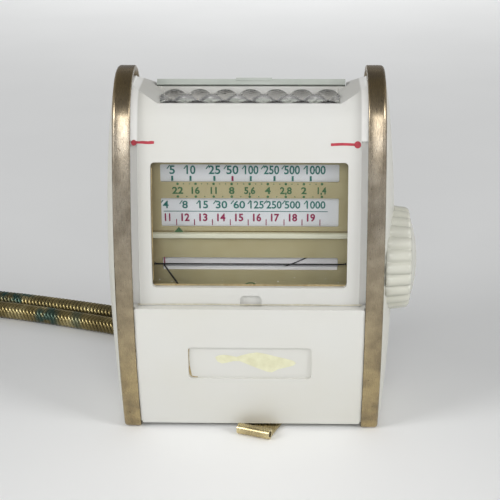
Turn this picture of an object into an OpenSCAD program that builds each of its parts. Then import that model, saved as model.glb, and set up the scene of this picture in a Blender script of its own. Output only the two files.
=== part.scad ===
// Hand light meter with a colour temperature index: a cream moulding held by two brass bands.
// +Z is up, the scale window faces -Y and the knob is on +X.
// The origin is on the resting plane, midway between the bands and between front and back.
// All lengths are in millimetres and all angles in degrees.

/* [Body] */
// Height over the bands
body_h = 73.3; // [73:0.1:74]
// Depth at the middle of the height
body_d = 30; // [29.5:0.5:33]
// Radius of the bowed front
front_r = 94; // [90:1:98]
// Height of the foremost point of the front
front_mid_z = 32.5; // [31.5:0.5:33.5]
// Radius of the bowed back
back_r = 150; // [140:5:180]
// Thickness of the moulding behind its face
wall = 2.4; // [2.2:0.1:2.6]
// How far the side cheeks stand out past the bands
cheek_out = 2.8; // [2.3:0.1:3.2]

/* [Bands] */
// Width over the outer edges of the two bands
band_span = 52.3; // [51.9:0.1:54]
// Width of one band
band_w = 3.5; // [3.1:0.1:3.6]
// Thickness of the brass strip
band_t = 1; // [0.8:0.1:1.1]
// How far the bands stand proud of the moulding between them
band_proud = 2.1; // [2.1:0.1:2.3]

/* [Front cover] */
// Height of the cover's lower edge
cover_z0 = 1.1; // [1:0.1:1.5]
// Height of the cover's upper edge when it is down
cover_z1 = 28.9; // [28:0.1:29]
// Thickness of the cover
cover_t = 1.5; // [1.3:0.1:1.5]
// Width of the bare label recess
label_w = 24.6; // [16:0.1:30]
// Height of the bare label recess
label_h = 7.4; // [4:0.1:9]

/* [Window] */
// Width of the window
window_w = 38; // [36:0.5:38]
// Height of the window's lower edge
window_z0 = 32.8; // [32.6:0.1:33]
// Height of the window's upper edge
window_z1 = 57.3; // [56.9:0.1:57.4]
// Thickness of the window pane
pane_t = 1.2; // [1:0.1:1.2]

/* [Light trough] */
// Height of the trough's floor
trough_z = 67.8; // [67.6:0.1:68]
// Width of the honeycomb lens
lens_w = 34.8; // [30:0.2:34.8]
// Distance between neighbouring lenslets
lens_pitch = 5.04; // [4.3:0.02:5.4]

/* [Knob] */
// Radius of the knob at its inner end
knob_r = 10.6; // [9.5:0.1:10.7]
// Length of the knob's ribs
knob_len = 5; // [4.6:0.1:5.6]
// How far the knob's end bulges past its ribs
knob_crown = 1.7; // [1.2:0.1:2]
// Number of flutes round the knob
knob_flutes = 24; // [18:1:30]
// Height of the knob's axis
knob_z = 35.9; // [35.7:0.1:36]

/* [Neck chain] */
// Diameter of the chain
chain_d = 3.8; // [3.5:0.1:4]
// Width of the brass strap under the body
strap_w = 7; // [6:0.1:8]

/* [Hidden] */

// Finishes, as the photograph shows them
cream = [0.86, 0.86, 0.83];
brass = [0.62, 0.54, 0.36];
steel = [0.62, 0.63, 0.65];
khaki = [0.62, 0.59, 0.42];
black = [0.1, 0.1, 0.11];

// Clearances
flat_gap = 0.02;
slide_gap = 0.3;
shaft_gap = 0.06;
far = 160;

// Segments of the large arcs and of the small ones
arc_fn = 240;
round_fn = 48;
outline_fn = 96;

// Centres of the front and back arcs, seen from the side as [y, z]
front_c = [-body_d / 2 + front_r, front_mid_z];
back_c = [body_d / 2 - back_r, body_h / 2];
top_front_r = 12;
top_back_r = 10;
base_front_r = 1.5;
base_back_r = 2.5;

function on_front(r, z) = [front_c.x - sqrt(pow(r, 2) - pow(z - front_c.y, 2)), z];
function on_back(r, z) = [back_c.x + sqrt(pow(r, 2) - pow(z - back_c.y, 2)), z];
function unit(v) = v / norm(v);

top_front_c = on_front(front_r - top_front_r, body_h - top_front_r);
top_back_c = on_back(back_r - top_back_r, body_h - top_back_r);
base_front_c = on_front(front_r - base_front_r, base_front_r);
base_back_c = on_back(back_r - base_back_r, base_back_r);

// Half widths, counted from the plane of symmetry
band_x1 = band_span / 2;
band_x0 = band_x1 - band_w;
seat_x0 = band_x0 + 1.6;
seat_x1 = band_x1 - 0.1;
cavity_x = seat_x0;
rail_x0 = band_x0 - 1.2;
cover_x = band_x0 - slide_gap;

// Depths below the outline of the bands
face_in = band_proud;
rail_in = band_proud + 1;
seat_in = band_t + flat_gap;
cavity_in = face_in + wall;

// Side view of the body, drawn d inside the outline of the bands
module profile(d, big = arc_fn, small = round_fn) {
    difference() {
        intersection() {
            translate(front_c) circle(r = front_r - d, $fn = big);
            translate(back_c) circle(r = back_r - d, $fn = big);
            translate([-body_d, d]) square([2 * body_d, body_h - 2 * d]);
        }
        corner_wedge(top_front_c, top_front_r - d, front_c, 1);
        corner_wedge(top_back_c, top_back_r - d, back_c, 1);
        corner_wedge(base_front_c, base_front_r - d, front_c, -1);
        corner_wedge(base_back_c, base_back_r - d, back_c, -1);
    }
    corner_round(top_front_c, top_front_r - d, small);
    corner_round(top_back_c, top_back_r - d, small);
    corner_round(base_front_c, base_front_r - d, small);
    corner_round(base_back_c, base_back_r - d, small);
}

// The sharp corner outside a corner circle of radius r about c
module corner_wedge(c, r, arc_c, up) {
    out = unit(c - arc_c);
    if (r > 0.05)
        polygon([c, c + far * out, c + far * (out + [0, up]), c + far * [0, up]]);
}

// Corner circle, a little over its radius, so that it crosses the arc beside it
module corner_round(c, r, small) {
    if (r > 0.05) translate(c) circle(r = r + 0.004, $fn = small);
}

// Extrudes a side view from x0 to x1
module side(x0, x1) {
    translate([x0, 0, 0]) rotate([90, 0, 90]) linear_extrude(x1 - x0) children();
}

// Extrudes a front view from y0 to y1
module along_y(y0, y1) {
    translate([0, y1, 0]) rotate([90, 0, 0]) linear_extrude(y1 - y0) children();
}

module both_sides() {
    children();
    mirror([1, 0, 0]) children();
}

// Round bar along X through [y, z]
module bar_x(x0, x1, r, at) {
    translate([x0, at.x, at.y]) rotate([0, 90, 0]) cylinder(r = r, h = x1 - x0, $fn = round_fn);
}

// Round bar along Y through [x, z]
module bar_y(y0, y1, r, at) {
    translate([at.x, y1, at.y]) rotate([90, 0, 0]) cylinder(r = r, h = y1 - y0, $fn = round_fn);
}

// Rectangle with round corners, from its lowest to its highest corner
module round_rect(lo, hi, r) {
    translate([lo.x + r, lo.y]) square([hi.x - lo.x - 2 * r, hi.y - lo.y]);
    translate([lo.x, lo.y + r]) square([hi.x - lo.x, hi.y - lo.y - 2 * r]);
    for (x = [lo.x + r, hi.x - r])
        for (y = [lo.y + r, hi.y - r])
            translate([x, y]) circle(r = r, $fn = round_fn);
}

module box(lo, hi) {
    translate(lo) cube(hi - lo);
}

// Slice between two heights, seen from the side
module heights(z0, z1) {
    translate([-far, z0]) square([2 * far, z1 - z0]);
}

// Ring about c, seen from the side
module ring(c, r0, r1) {
    translate(c) difference() {
        circle(r = r1, $fn = arc_fn);
        circle(r = r0, $fn = arc_fn);
    }
}

// Sector about c from angle a0 to a1, counted from straight up towards the back
module sector(c, a0, a1) {
    steps = 4;
    spread = [for (i = [0:steps]) a0 + (a1 - a0) * i / steps];
    polygon(concat([c], [for (a = spread) c + far * [sin(a), cos(a)]]));
}

/* Front cover: it slides round the centre of the front arc */
cover_out = 0.3;
cover_r1 = front_r - cover_out;
cover_r0 = cover_r1 - cover_t;
tongue_r1 = front_r - band_t - slide_gap;
tongue_r0 = front_r - rail_in + slide_gap;
tongue_x1 = seat_x0 - slide_gap;
tongue_x0 = rail_x0 + slide_gap;
shut_z = 61.2;
label_z0 = 12.95;
label_deep = 0.5;
rail_foot_z = 1.6;

/* Window and what lies behind it */
pane_r1 = front_r - face_in - 1;
pane_r0 = pane_r1 - pane_t;
pane_edge = 0.6;
corner_r = 0.8;
mask_y1 = -6.4;
mask_t = 0.4;
mask_y0 = mask_y1 - mask_t;
mask_x = cavity_x - 1.4;
mask_z0 = 29;
mask_z1 = 56.9;
mask_screw_x = mask_x - 0.9;
mask_screw_z = [31, 40.4];
slot_x = 17.4;
upper_slot = [52.5, 56.1];
lower_slot = [43.3, 49.2];
needle_slot = [34.1, 36.8];
bar_z = [40.95, 42.65];
wire_z = 35.65;
wire_y = mask_y0 - 0.6;
wire_r = 0.1;

/* Trough, lens and cell */
trough_x = 17.6;
ramp_slope = 0.52;
lens_y0 = -4.9;
lens_y1 = 6.4;
lens_top = trough_z + 0.5;
lens_base = trough_z - 1.6;
dome_r = 3.4;
shelf_z = trough_z - 2.4;
cell_z = 62.4;
cell_t = 0.8;
frame_y0 = -3.4;
frame_y1 = 6.3;

/* Filter shutter: a shell that slides round an axis below the trough */
shutter_c = top_back_c;
shutter_t = 1.2;
shutter_r0 = top_back_r - face_in - 0.05 - shutter_t;
shutter_x = 18.8;
shutter_rest = 35.5;
shutter_arc = 75;
shutter_swing = 70;
tail_w = 1;
tail_end = 150;

/* Knob, drum and carriage */
knob_y = -3.7;
knob_at = [knob_y, knob_z];
shaft_r = 1.5;
knob_x0 = band_x1 + slide_gap;
knob_x1 = knob_x0 + knob_len;
knob_taper = 0.94;
knob_floor = knob_x1 + 0.3;
crown_r = 8.9;
bush_r = 3;
drum_r = 2.35;
drum_x = 17.4;
thread_r = 1.6;
thread_x0 = -cavity_x + 0.2;
journal_r = 1;
carriage_x0 = -20.2;
carriage_x1 = 21.6;
carriage_z0 = 42.6;
carriage_z1 = 56.8;
carriage_y0 = mask_y1 + 0.4;
carriage_y1 = carriage_y0 + 0.8;
arm_y0 = mask_y1 + 1.8;
arm_y1 = arm_y0 + 1.7;
nut_r = 2.35;
strip_t = 0.18;
rod_at = [-3.9, 50];
rod_r = 0.8;

/* Meter movement, on a spindle that runs from front to back */
pivot = [0, 9.3];
needle_rest = -32.8;
ring_r1 = 4.7;
ring_r0 = 3.9;
core_r = 2.6;
coil_r = 3.25;
magnet_y0 = -2.4;
magnet_y1 = 3.4;
pillar_x = 9.2;
boss_x = 13.2;
front_bridge_y = [-6.3, -5.5];
rear_bridge_y = [5.6, 6.6];
spindle_r = 0.45;
pivot_r = 0.3;
needle_len = 31.4;

/* Strap and chain under the body */
strap_pivot = [4, -4.5];
strap_end = [14.4, 22.4];
strap_turn = atan((strap_end.x - strap_pivot.x) / (strap_end.y - strap_pivot.y));
strap_z0 = 0.3;
strap_t = 0.5;
strap_front = 8.8;
bead_r = 1.1;
chain_turn = 159;
strand_gap = 7.2;
clamp_z = 3.15;
ferrule_r = 2.3;
ferrule_len = 8;
block_t = 3.5;

module case_body() {
    color(cream) difference() {
        union() {
            side(-rail_x0, rail_x0) profile(face_in);
            side(-seat_x0 - 0.5, seat_x0 + 0.5) profile(rail_in);
            side(-seat_x0, seat_x0) intersection() {
                profile(face_in);
                union() {
                    heights(shut_z, body_h);
                    heights(0, rail_foot_z);
                }
            }
            both_sides() side(seat_x0, seat_x1) profile(seat_in);
            translate([strap_pivot.x, strap_pivot.y, strap_z0 + strap_t + 0.1])
                cylinder(r = 3, h = face_in, $fn = round_fn);
        }
        difference() {
            side(-cavity_x, cavity_x) difference() {
                intersection() {
                    profile(cavity_in);
                    heights(0, shelf_z);
                }
                intersection() {
                    ring(shutter_c, shutter_r0 - 1.4, far);
                    sector(shutter_c, 20, shutter_rest + shutter_arc + 11);
                }
            }
            case_fittings();
        }
        trough();
        window_cut();
        shutter_path();
        back_cut();
        shaft_cuts();
        screw_cuts();
        thumb_notch();
    }
}

// Bosses and ledges that stand inside the moulding
module case_fittings() {
    both_sides() {
        bar_y(-far, rear_bridge_y[0] - flat_gap, 2.2, [boss_x, pivot.y]);
        for (z = mask_screw_z)
            box([mask_screw_x - 0.9, mask_y1 + flat_gap, z - 1.4], [far, mask_y1 + 1.5, z + 1.4]);
        for (z = back_screw_z) {
            bar_y(3, far, back_boss_r, [back_screw_x, z]);
            box([back_screw_x, 3, z - back_boss_r], [far, far, z + back_boss_r]);
        }
    }
    translate([strap_pivot.x, strap_pivot.y, 0]) cylinder(r = 1.9, h = 4.2, $fn = round_fn);
}

// Shallow trough between the bands: a ramp up to each band and a wall behind the lens
module trough() {
    ramp_x = band_x0 - 0.05;
    ramp_top = trough_z + (ramp_x - trough_x) * ramp_slope;
    side_x = shutter_x + 0.25;
    side_top = trough_z + (side_x - trough_x) * ramp_slope;
    along_y(-far, lens_y1 + flat_gap) polygon([
        [-ramp_x, ramp_top], [-trough_x, trough_z], [trough_x, trough_z],
        [ramp_x, ramp_top], [ramp_x, 2 * body_h], [-ramp_x, 2 * body_h]]);
    both_sides() along_y(lens_y1 - 1, far) polygon([
        [side_x, side_top], [ramp_x, ramp_top], [ramp_x, 2 * body_h], [side_x, 2 * body_h]]);
    lens_x = lens_w / 2 + flat_gap;
    box([-lens_x, lens_y0 - flat_gap, lens_base - flat_gap],
        [lens_x, lens_y1 + flat_gap, body_h]);
    box([-lens_x + 0.6, lens_y0 + 0.5, shelf_z - 3], [lens_x - 0.6, lens_y1 - 0.5, body_h]);
}

module window_cut() {
    along_y(-far, mask_y0) window_outline(0);
    intersection() {
        along_y(-far, mask_y0) window_outline(pane_edge + 0.1);
        bar_x(-far, far, pane_r1 + flat_gap, front_c, $fn = arc_fn);
    }
}

module window_outline(grow) {
    round_rect([-window_w / 2 - grow, window_z0 - grow],
        [window_w / 2 + grow, window_z1 + grow], corner_r + grow / 2);
}

// Room for the shutter: open above the strip, with a slot for each tail below it
module shutter_path() {
    inner = shutter_r0 - 0.25;
    outer = shutter_r0 + shutter_t + 0.25;
    x = shutter_x + 0.25;
    end = shutter_rest + shutter_arc;
    side(-x, x) shutter_slice(inner, far, shutter_rest - shutter_swing - 2.9, end + 2);
    both_sides() side(shutter_x - tail_w - 0.25, x)
        shutter_slice(inner, outer, end, tail_end + 4);
}

back_z = [3.6, 56.3];
back_ledge = 1.5;
back_x = band_x0 - 0.25;
back_t = 1.6;
back_screw_x = 18.8;
back_screw_z = [8.2, 48.8];
back_boss_r = 2.6;

// Recess and opening for the back plate
module back_cut() {
    side(-back_x - 0.05, back_x + 0.05) intersection() {
        translate([0, back_z[0] - 0.05]) square([far, back_z[1] - back_z[0] + 0.1]);
        difference() {
            profile(-5);
            profile(face_in + back_t);
        }
    }
    difference() {
        box([-back_x + back_ledge, 6, back_z[0] + back_ledge],
            [back_x - back_ledge, far, back_z[1] - back_ledge]);
        difference() {
            both_sides() for (z = back_screw_z) {
                bar_y(3, far, back_boss_r, [back_screw_x, z]);
                box([back_screw_x, 3, z - back_boss_r], [far, far, z + back_boss_r]);
            }
            side(-far, far) difference() {
                square([far, 2 * body_h]);
                profile(face_in + back_t);
            }
        }
    }
}

module shaft_cuts() {
    bar_x(0, far, bush_r + flat_gap, knob_at);
    bar_x(-cavity_x - 1.4, 0, journal_r + shaft_gap, knob_at);
    bar_x(-cavity_x - 1, cavity_x + 1, rod_r + flat_gap, rod_at);
}

module screw_cuts() {
    translate([strap_pivot.x, strap_pivot.y, 0]) cylinder(r = 1, h = 4.1, $fn = round_fn);
    both_sides() {
        bar_y(-1, rear_bridge_y[0], 0.9, [boss_x, pivot.y]);
        for (z = mask_screw_z) bar_y(mask_y1, mask_y1 + 1.3, 0.5, [mask_screw_x, z]);
        for (z = back_screw_z) bar_y(3.5, far, 0.9, [back_screw_x, z]);
        for (z = cheek_screw_z) bar_x(cavity_x - 1, far, 0.9, [cheek_screw_y, z]);
    }
}

// Thumb notch just above the lowered front cover
module thumb_notch() {
    intersection() {
        along_y(-far, 0) round_rect([-1.9, cover_z1 - 2], [2.4, cover_z1 + 2.2], 0.9);
        difference() {
            side(-3, 3) profile(0);
            side(-4, 4) profile(face_in + 0.6);
        }
    }
}

cheek_screw_y = 3;
cheek_screw_z = [14, 60];

module case_back() {
    color(cream) difference() {
        side(-back_x, back_x) intersection() {
            translate([0, back_z[0]]) square([far, back_z[1] - back_z[0]]);
            difference() {
                profile(face_in);
                profile(face_in + back_t - flat_gap);
            }
        }
        both_sides() for (z = back_screw_z) {
            bar_y(0, far, 1, [back_screw_x, z]);
            head_cone(back_screw_x, z, 0.02);
        }
        bar_y(0, far, 1.6 + shaft_gap, pivot);
    }
}

// Countersunk head at the back plate's face
module head_cone(x, z, grow) {
    face = on_back(back_r - face_in, z).x - 0.1;
    translate([x, face, z]) rotate([90, 0, 0])
        cylinder(r1 = 1.9 + grow, r2 = 0.9 + grow, h = 1.1, $fn = round_fn);
    translate([x, face + 1, z]) rotate([90, 0, 0])
        cylinder(r = 1.9 + grow, h = 1, $fn = round_fn);
}

module back_screws() {
    color(steel) both_sides() for (z = back_screw_z) {
        face = on_back(back_r - face_in, z).x - 0.1;
        difference() {
            union() {
                translate([back_screw_x, face, z]) rotate([90, 0, 0])
                    cylinder(r1 = 1.9, r2 = 0.9, h = 1, $fn = round_fn);
                bar_y(4, face, 0.88, [back_screw_x, z]);
            }
            box([back_screw_x - 2, face - 0.4, z - 0.2], [back_screw_x + 2, far, z + 0.2]);
        }
    }
}

module band() {
    edge = 0.5;
    color(brass) difference() {
        hull() {
            side(band_x0, band_x1 - edge) profile(0, 180, 40);
            side(band_x0, band_x1) profile(edge * 0.7, 180, 40);
        }
        side(band_x0 - 1, band_x1 + 1) profile(band_t);
    }
}

module left_band() {
    mirror([1, 0, 0]) band();
}

module right_band() {
    band();
}

// Domed cheek: copies of the outline that shrink as they stand out
module cheek() {
    mid = [0, body_h / 2];
    rise = [[1, 0], [0.93, 0.16], [0.8, 0.39], [0.62, 0.62], [0.42, 0.81], [0.2, 0.96], [0.08, 1]];
    hull() for (s = rise)
        side(seat_x1 + cheek_out * s[1], seat_x1 + cheek_out * s[1] + 0.02)
            translate(mid * (1 - s[0])) scale(s[0]) profile(seat_in + 0.08, outline_fn, 24);
}

module cheek_screw_holes() {
    for (z = cheek_screw_z) bar_x(seat_x1 - 1, band_x1 + 0.7, 0.9, [cheek_screw_y, z]);
}

module left_cheek() {
    color(cream) mirror([1, 0, 0]) difference() {
        cheek();
        cheek_screw_holes();
    }
}

module right_cheek() {
    color(cream) difference() {
        cheek();
        bar_x(0, far, knob_r + 0.5, knob_at);
        cheek_screw_holes();
    }
}

module cheek_screws() {
    color(steel) both_sides() for (z = cheek_screw_z) {
        bar_x(cavity_x - 0.8, cavity_x, 1.7, [cheek_screw_y, z]);
        bar_x(cavity_x - 0.4, band_x1 + 0.6, 0.88, [cheek_screw_y, z]);
    }
}

module window_pane() {
    color([0.85, 0.88, 0.86, 0.4]) intersection() {
        side(-far, far) ring(front_c, pane_r0, pane_r1);
        along_y(-far, 0) window_outline(pane_edge);
    }
}

module mask_plate() {
    color(khaki) along_y(mask_y0, mask_y1) difference() {
        round_rect([-mask_x, mask_z0], [mask_x, mask_z1], 0.8);
        for (z = [upper_slot, lower_slot, needle_slot]) round_rect([-slot_x, z[0]], [slot_x, z[1]], 0.3);
        for (x = [-mask_screw_x, mask_screw_x])
            for (z = mask_screw_z) translate([x, z]) circle(r = 0.52, $fn = round_fn);
    }
}

module mask_screws() {
    color(steel) both_sides() for (z = mask_screw_z) {
        bar_y(mask_y0 - 0.4, mask_y0, 0.85, [mask_screw_x, z]);
        bar_y(mask_y0 - 0.2, mask_y1 + 1.2, 0.48, [mask_screw_x, z]);
    }
}

module divider_bar() {
    color([0.84, 0.82, 0.72])
        box([-slot_x - 1.9, mask_y0 - 1.5, bar_z[0]], [slot_x + 1.9, mask_y0, bar_z[1]]);
}

// Taut wire across the needle slot, with its ends turned back to the mask
module hairline() {
    end_x = slot_x + 1.5;
    color(black) {
        bar_x(-end_x, end_x, wire_r, [wire_y, wire_z]);
        both_sides() bar_y(wire_y, mask_y0, wire_r, [end_x - wire_r, wire_z]);
    }
}

// Angles of the cover's edges, counted from straight up at the arc's centre
function cover_angle(z) = -90 + asin((z - front_c.y) / cover_r1);

module front_cover() {
    color(cream) difference() {
        union() {
            side(-cover_x, cover_x) cover_slice(cover_r0, cover_r1, cover_z0);
            both_sides() side(tongue_x0, tongue_x1)
                cover_slice(tongue_r0, tongue_r1, rail_foot_z + slide_gap);
        }
        intersection() {
            along_y(-far, 0)
                round_rect([-label_w / 2, label_z0], [label_w / 2, label_z0 + label_h], 0.8);
            side(-far, far) ring(front_c, cover_r1 - label_deep, front_r + 5);
        }
    }
}

module cover_slice(r0, r1, z0) {
    intersection() {
        ring(front_c, r0, r1);
        sector(front_c, cover_angle(z0), cover_angle(cover_z1));
    }
}

// Rows of domed six-sided lenslets on a clear plate
module honeycomb_lens() {
    rows = [lens_y1 - lens_pitch / 2, lens_y1 - 1.366 * lens_pitch, lens_y1 - 2.232 * lens_pitch];
    reach = ceil(lens_w / lens_pitch / 2);
    color([0.8, 0.82, 0.84, 0.6]) {
        box([-lens_w / 2, lens_y0, lens_base], [lens_w / 2, lens_y1, lens_top - 1.1]);
        intersection() {
            box([-lens_w / 2, lens_y0, lens_base], [lens_w / 2, lens_y1, lens_top]);
            union() for (row = [0:2]) for (i = [-reach:reach])
                translate([(i + (row % 2) / 2) * lens_pitch, rows[row], 0]) lenslet();
        }
    }
}

module lenslet() {
    intersection() {
        translate([0, 0, lens_top - dome_r]) sphere(r = dome_r, $fn = round_fn);
        translate([0, 0, lens_base]) rotate(30)
            linear_extrude(dome_r) circle(r = lens_pitch / sqrt(3), $fn = 6);
    }
}

module light_cell() {
    color([0.25, 0.26, 0.3])
        box([-slot_x, frame_y0 + 0.6, cell_z], [slot_x, frame_y1 - 0.6, cell_z + cell_t]);
}

// Open frame that holds the cell against the roof of the case
module cell_frame() {
    x = slot_x + 0.9;
    rim = 1.2;
    color(black) difference() {
        box([-x, frame_y0, cell_z - 1.2], [x, frame_y1, shelf_z]);
        box([-slot_x - flat_gap, frame_y0 + 0.58, cell_z - flat_gap],
            [slot_x + flat_gap, frame_y1 - 0.58, shelf_z + 1]);
        box([-slot_x + rim, frame_y0 + 1.8, 0], [slot_x - rim, frame_y1 - 1.8, shelf_z]);
    }
}

module lead_wires() {
    color([0.55, 0.1, 0.1]) both_sides() translate([13, 5.7, pivot.y + 3])
        cylinder(r = 0.3, h = cell_z - 1.2 - pivot.y - 3, $fn = 16);
}

// Curved filter strip with two tails that keep it in its grooves
module filter_shutter() {
    outer = shutter_r0 + shutter_t;
    end = shutter_rest + shutter_arc;
    color([0.62, 0.66, 0.6, 0.8]) {
        difference() {
            side(-shutter_x, shutter_x)
                shutter_slice(shutter_r0, outer, shutter_rest, tail_end);
            side(-shutter_x + tail_w, shutter_x - tail_w)
                shutter_slice(shutter_r0 - 1, outer + 1, end, tail_end + 10);
        }
        side(-3, 4.2) shutter_slice(outer - 0.4, outer + 0.2, shutter_rest - 1, shutter_rest + 7);
    }
}

module shutter_slice(r0, r1, a0, a1) {
    intersection() {
        ring(shutter_c, r0, r1);
        sector(shutter_c, a0, a1);
    }
}

// Knob: round ribs set close together on a tapered core, with a bulging end
module knob() {
    rib_r = knob_r * sin(180 / knob_flutes) * 0.86;
    lean = atan(knob_r * (1 - knob_taper) / knob_len);
    core_end = knob_r * (1 - (1 - knob_taper) * (knob_len + 3) / knob_len);
    color(cream) difference() {
        intersection() {
            union() {
                translate([knob_x0, knob_y, knob_z]) rotate([0, 90, 0])
                    cylinder(r1 = knob_r - 0.8, r2 = core_end - 0.8, h = knob_len + 3,
                        $fn = outline_fn);
                for (i = [0:knob_flutes - 1])
                    translate([knob_x0, knob_y, knob_z]) rotate([0, 90, 0])
                        rotate((i + 0.5) * 360 / knob_flutes)
                            translate([knob_r - rib_r, 0, -1]) rotate([0, -lean, 0])
                                cylinder(r = rib_r, h = knob_len + 4, $fn = 16);
            }
            translate([knob_x0, knob_y, knob_z]) rotate([0, 90, 0])
                rotate_extrude($fn = outline_fn) knob_outline();
        }
        bar_x(0, far, shaft_r + flat_gap, knob_at);
        bar_x(knob_floor, far, 2.7, knob_at);
    }
}

// Half section of the knob: its ribs end at a bevel, and its end bulges like a lens
module knob_outline() {
    outer = knob_r * knob_taper;
    bulge_r = (pow(crown_r, 2) + pow(knob_crown, 2)) / (2 * knob_crown);
    half = asin(crown_r / bulge_r);
    steps = 8;
    polygon(concat([[0, 0], [knob_r + 1, 0], [knob_r + 1, knob_len - 1], [outer + 0.1, knob_len - 0.5],
        [outer - 0.4, knob_len]],
        [for (i = [0:steps]) let (a = half * (1 - i / steps))
            [bulge_r * sin(a), knob_len + knob_crown - bulge_r * (1 - cos(a))]]));
}

module knob_screw() {
    color(brass) difference() {
        bar_x(knob_floor, knob_floor + 1, 2.4, knob_at);
        box([knob_floor + 0.6, knob_y - 4, knob_z - 0.3], [far, knob_y + 4, knob_z + 0.3]);
    }
}

module knob_shaft() {
    color(steel) {
        bar_x(-cavity_x - 1.2, thread_x0 + 0.1, journal_r, knob_at);
        bar_x(thread_x0, -drum_x, thread_r, knob_at);
        bar_x(-drum_x - 0.1, knob_floor, shaft_r, knob_at);
    }
}

module knob_bush() {
    color(brass) difference() {
        union() {
            bar_x(cavity_x - 0.8, band_x1 - 0.05, bush_r, knob_at);
            bar_x(cavity_x - 0.8, cavity_x - flat_gap, bush_r + 0.3, knob_at);
        }
        bar_x(0, far, shaft_r + shaft_gap, knob_at);
    }
}

module knob_washer() {
    color(steel) difference() {
        bar_x(band_x1 - 0.03, knob_x0 - 0.03, 4, knob_at);
        bar_x(0, far, shaft_r + 0.1, knob_at);
    }
}

module pointer_drum() {
    color([0.93, 0.93, 0.9]) difference() {
        bar_x(-drum_x, drum_x, drum_r, knob_at);
        bar_x(-far, far, shaft_r + flat_gap, knob_at);
    }
}

// Plate that carries the scale strips, with a nut on the shaft's thread and two guide lugs
module scale_carriage() {
    color([0.75, 0.75, 0.72]) difference() {
        union() {
            box([carriage_x0, carriage_y0, carriage_z0], [carriage_x1, carriage_y1, carriage_z1]);
            box([carriage_x0, carriage_y0, carriage_z0], [carriage_x0 + 1, arm_y1, carriage_z0 + 2]);
            box([carriage_x0, arm_y0, knob_z], [carriage_x0 + 1, arm_y1, carriage_z0 + 2]);
            bar_x(carriage_x0, carriage_x0 + 1, nut_r, knob_at);
            for (x = [-15, 12])
                box([x, carriage_y0, rod_at.y - 1.7], [x + 3, rod_at.x + 1.7, rod_at.y + 1.7]);
        }
        bar_x(carriage_x0 - 1, carriage_x0 + 2, thread_r + 0.08, knob_at);
        bar_x(-far, far, rod_r + 0.08, rod_at);
    }
}

module upper_strip() {
    color("white") box([carriage_x0, carriage_y0 - strip_t, upper_slot[0] - 0.3],
        [carriage_x1, carriage_y0, upper_slot[1] + 0.3]);
}

module lower_strip() {
    color("white") box([carriage_x0, carriage_y0 - strip_t, lower_slot[0] - 0.3],
        [carriage_x1, carriage_y0, lower_slot[1] + 0.3]);
}

module guide_rod() {
    color(steel) bar_x(-cavity_x - 0.9, cavity_x + 0.9, rod_r, rod_at);
}

// Rear plate of the movement, which stands on two bosses of the case
module movement_bridge() {
    color(brass) along_y(rear_bridge_y[0], rear_bridge_y[1]) difference() {
        round_rect([-boss_x - 2.5, pivot.y - 3], [boss_x + 2.5, pivot.y + 3], 2.4);
        translate(pivot) circle(r = pivot_r + 0.05, $fn = round_fn);
        for (x = [-boss_x, boss_x]) translate([x, pivot.y]) circle(r = 0.92, $fn = round_fn);
        for (x = [-pillar_x, pillar_x]) translate([x, pivot.y]) circle(r = 0.62, $fn = round_fn);
    }
}

module front_bridge() {
    color(brass) along_y(front_bridge_y[0], front_bridge_y[1]) difference() {
        round_rect([-pillar_x - 1.5, pivot.y - 1.3], [pillar_x + 1.5, pivot.y + 1.3], 1.2);
        translate(pivot) circle(r = pivot_r + 0.05, $fn = round_fn);
        for (x = [-pillar_x, pillar_x]) translate([x, pivot.y]) circle(r = 0.62, $fn = round_fn);
    }
}

// Stepped pillars that hold the bridges apart and carry the iron ring by its ears
module bridge_pillars() {
    color(brass) both_sides() {
        bar_y(front_bridge_y[0], rear_bridge_y[1], 0.6, [pillar_x, pivot.y]);
        bar_y(front_bridge_y[1], magnet_y0, 1.3, [pillar_x, pivot.y]);
        bar_y(magnet_y1, rear_bridge_y[0], 1.3, [pillar_x, pivot.y]);
    }
}

module movement_screws() {
    color(steel) both_sides() {
        bar_y(rear_bridge_y[1], rear_bridge_y[1] + 0.8, 1.7, [boss_x, pivot.y]);
        bar_y(-0.8, rear_bridge_y[1] + 0.1, 0.88, [boss_x, pivot.y]);
    }
}

module flux_ring() {
    color([0.35, 0.35, 0.37]) along_y(magnet_y0, magnet_y1) difference() {
        union() {
            translate(pivot) circle(r = ring_r1, $fn = outline_fn);
            translate(pivot + [-pillar_x - 1.6, -1.6]) square([2 * pillar_x + 3.2, 3.2]);
        }
        translate(pivot) circle(r = ring_r0, $fn = outline_fn);
        for (x = [-pillar_x, pillar_x]) translate([x, pivot.y]) circle(r = 0.62, $fn = round_fn);
    }
}

module core_magnet() {
    color([0.3, 0.3, 0.33]) difference() {
        bar_y(magnet_y0 + 0.4, magnet_y1 - 0.4, core_r, pivot);
        bar_y(magnet_y0, magnet_y1, spindle_r + 0.35, pivot);
    }
}

// Brass stays that hold the core in the ring, above and below, clear of the coil's swing
module core_holder() {
    color(brass) for (s = [-1, 1]) along_y(magnet_y0 + 0.4, magnet_y1 - 0.4) intersection() {
        translate(pivot) difference() {
            circle(r = ring_r0 - flat_gap, $fn = outline_fn);
            circle(r = core_r + flat_gap, $fn = outline_fn);
        }
        translate(pivot + [-0.9, s > 0 ? 0 : -far]) square([1.8, far]);
    }
}

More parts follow.
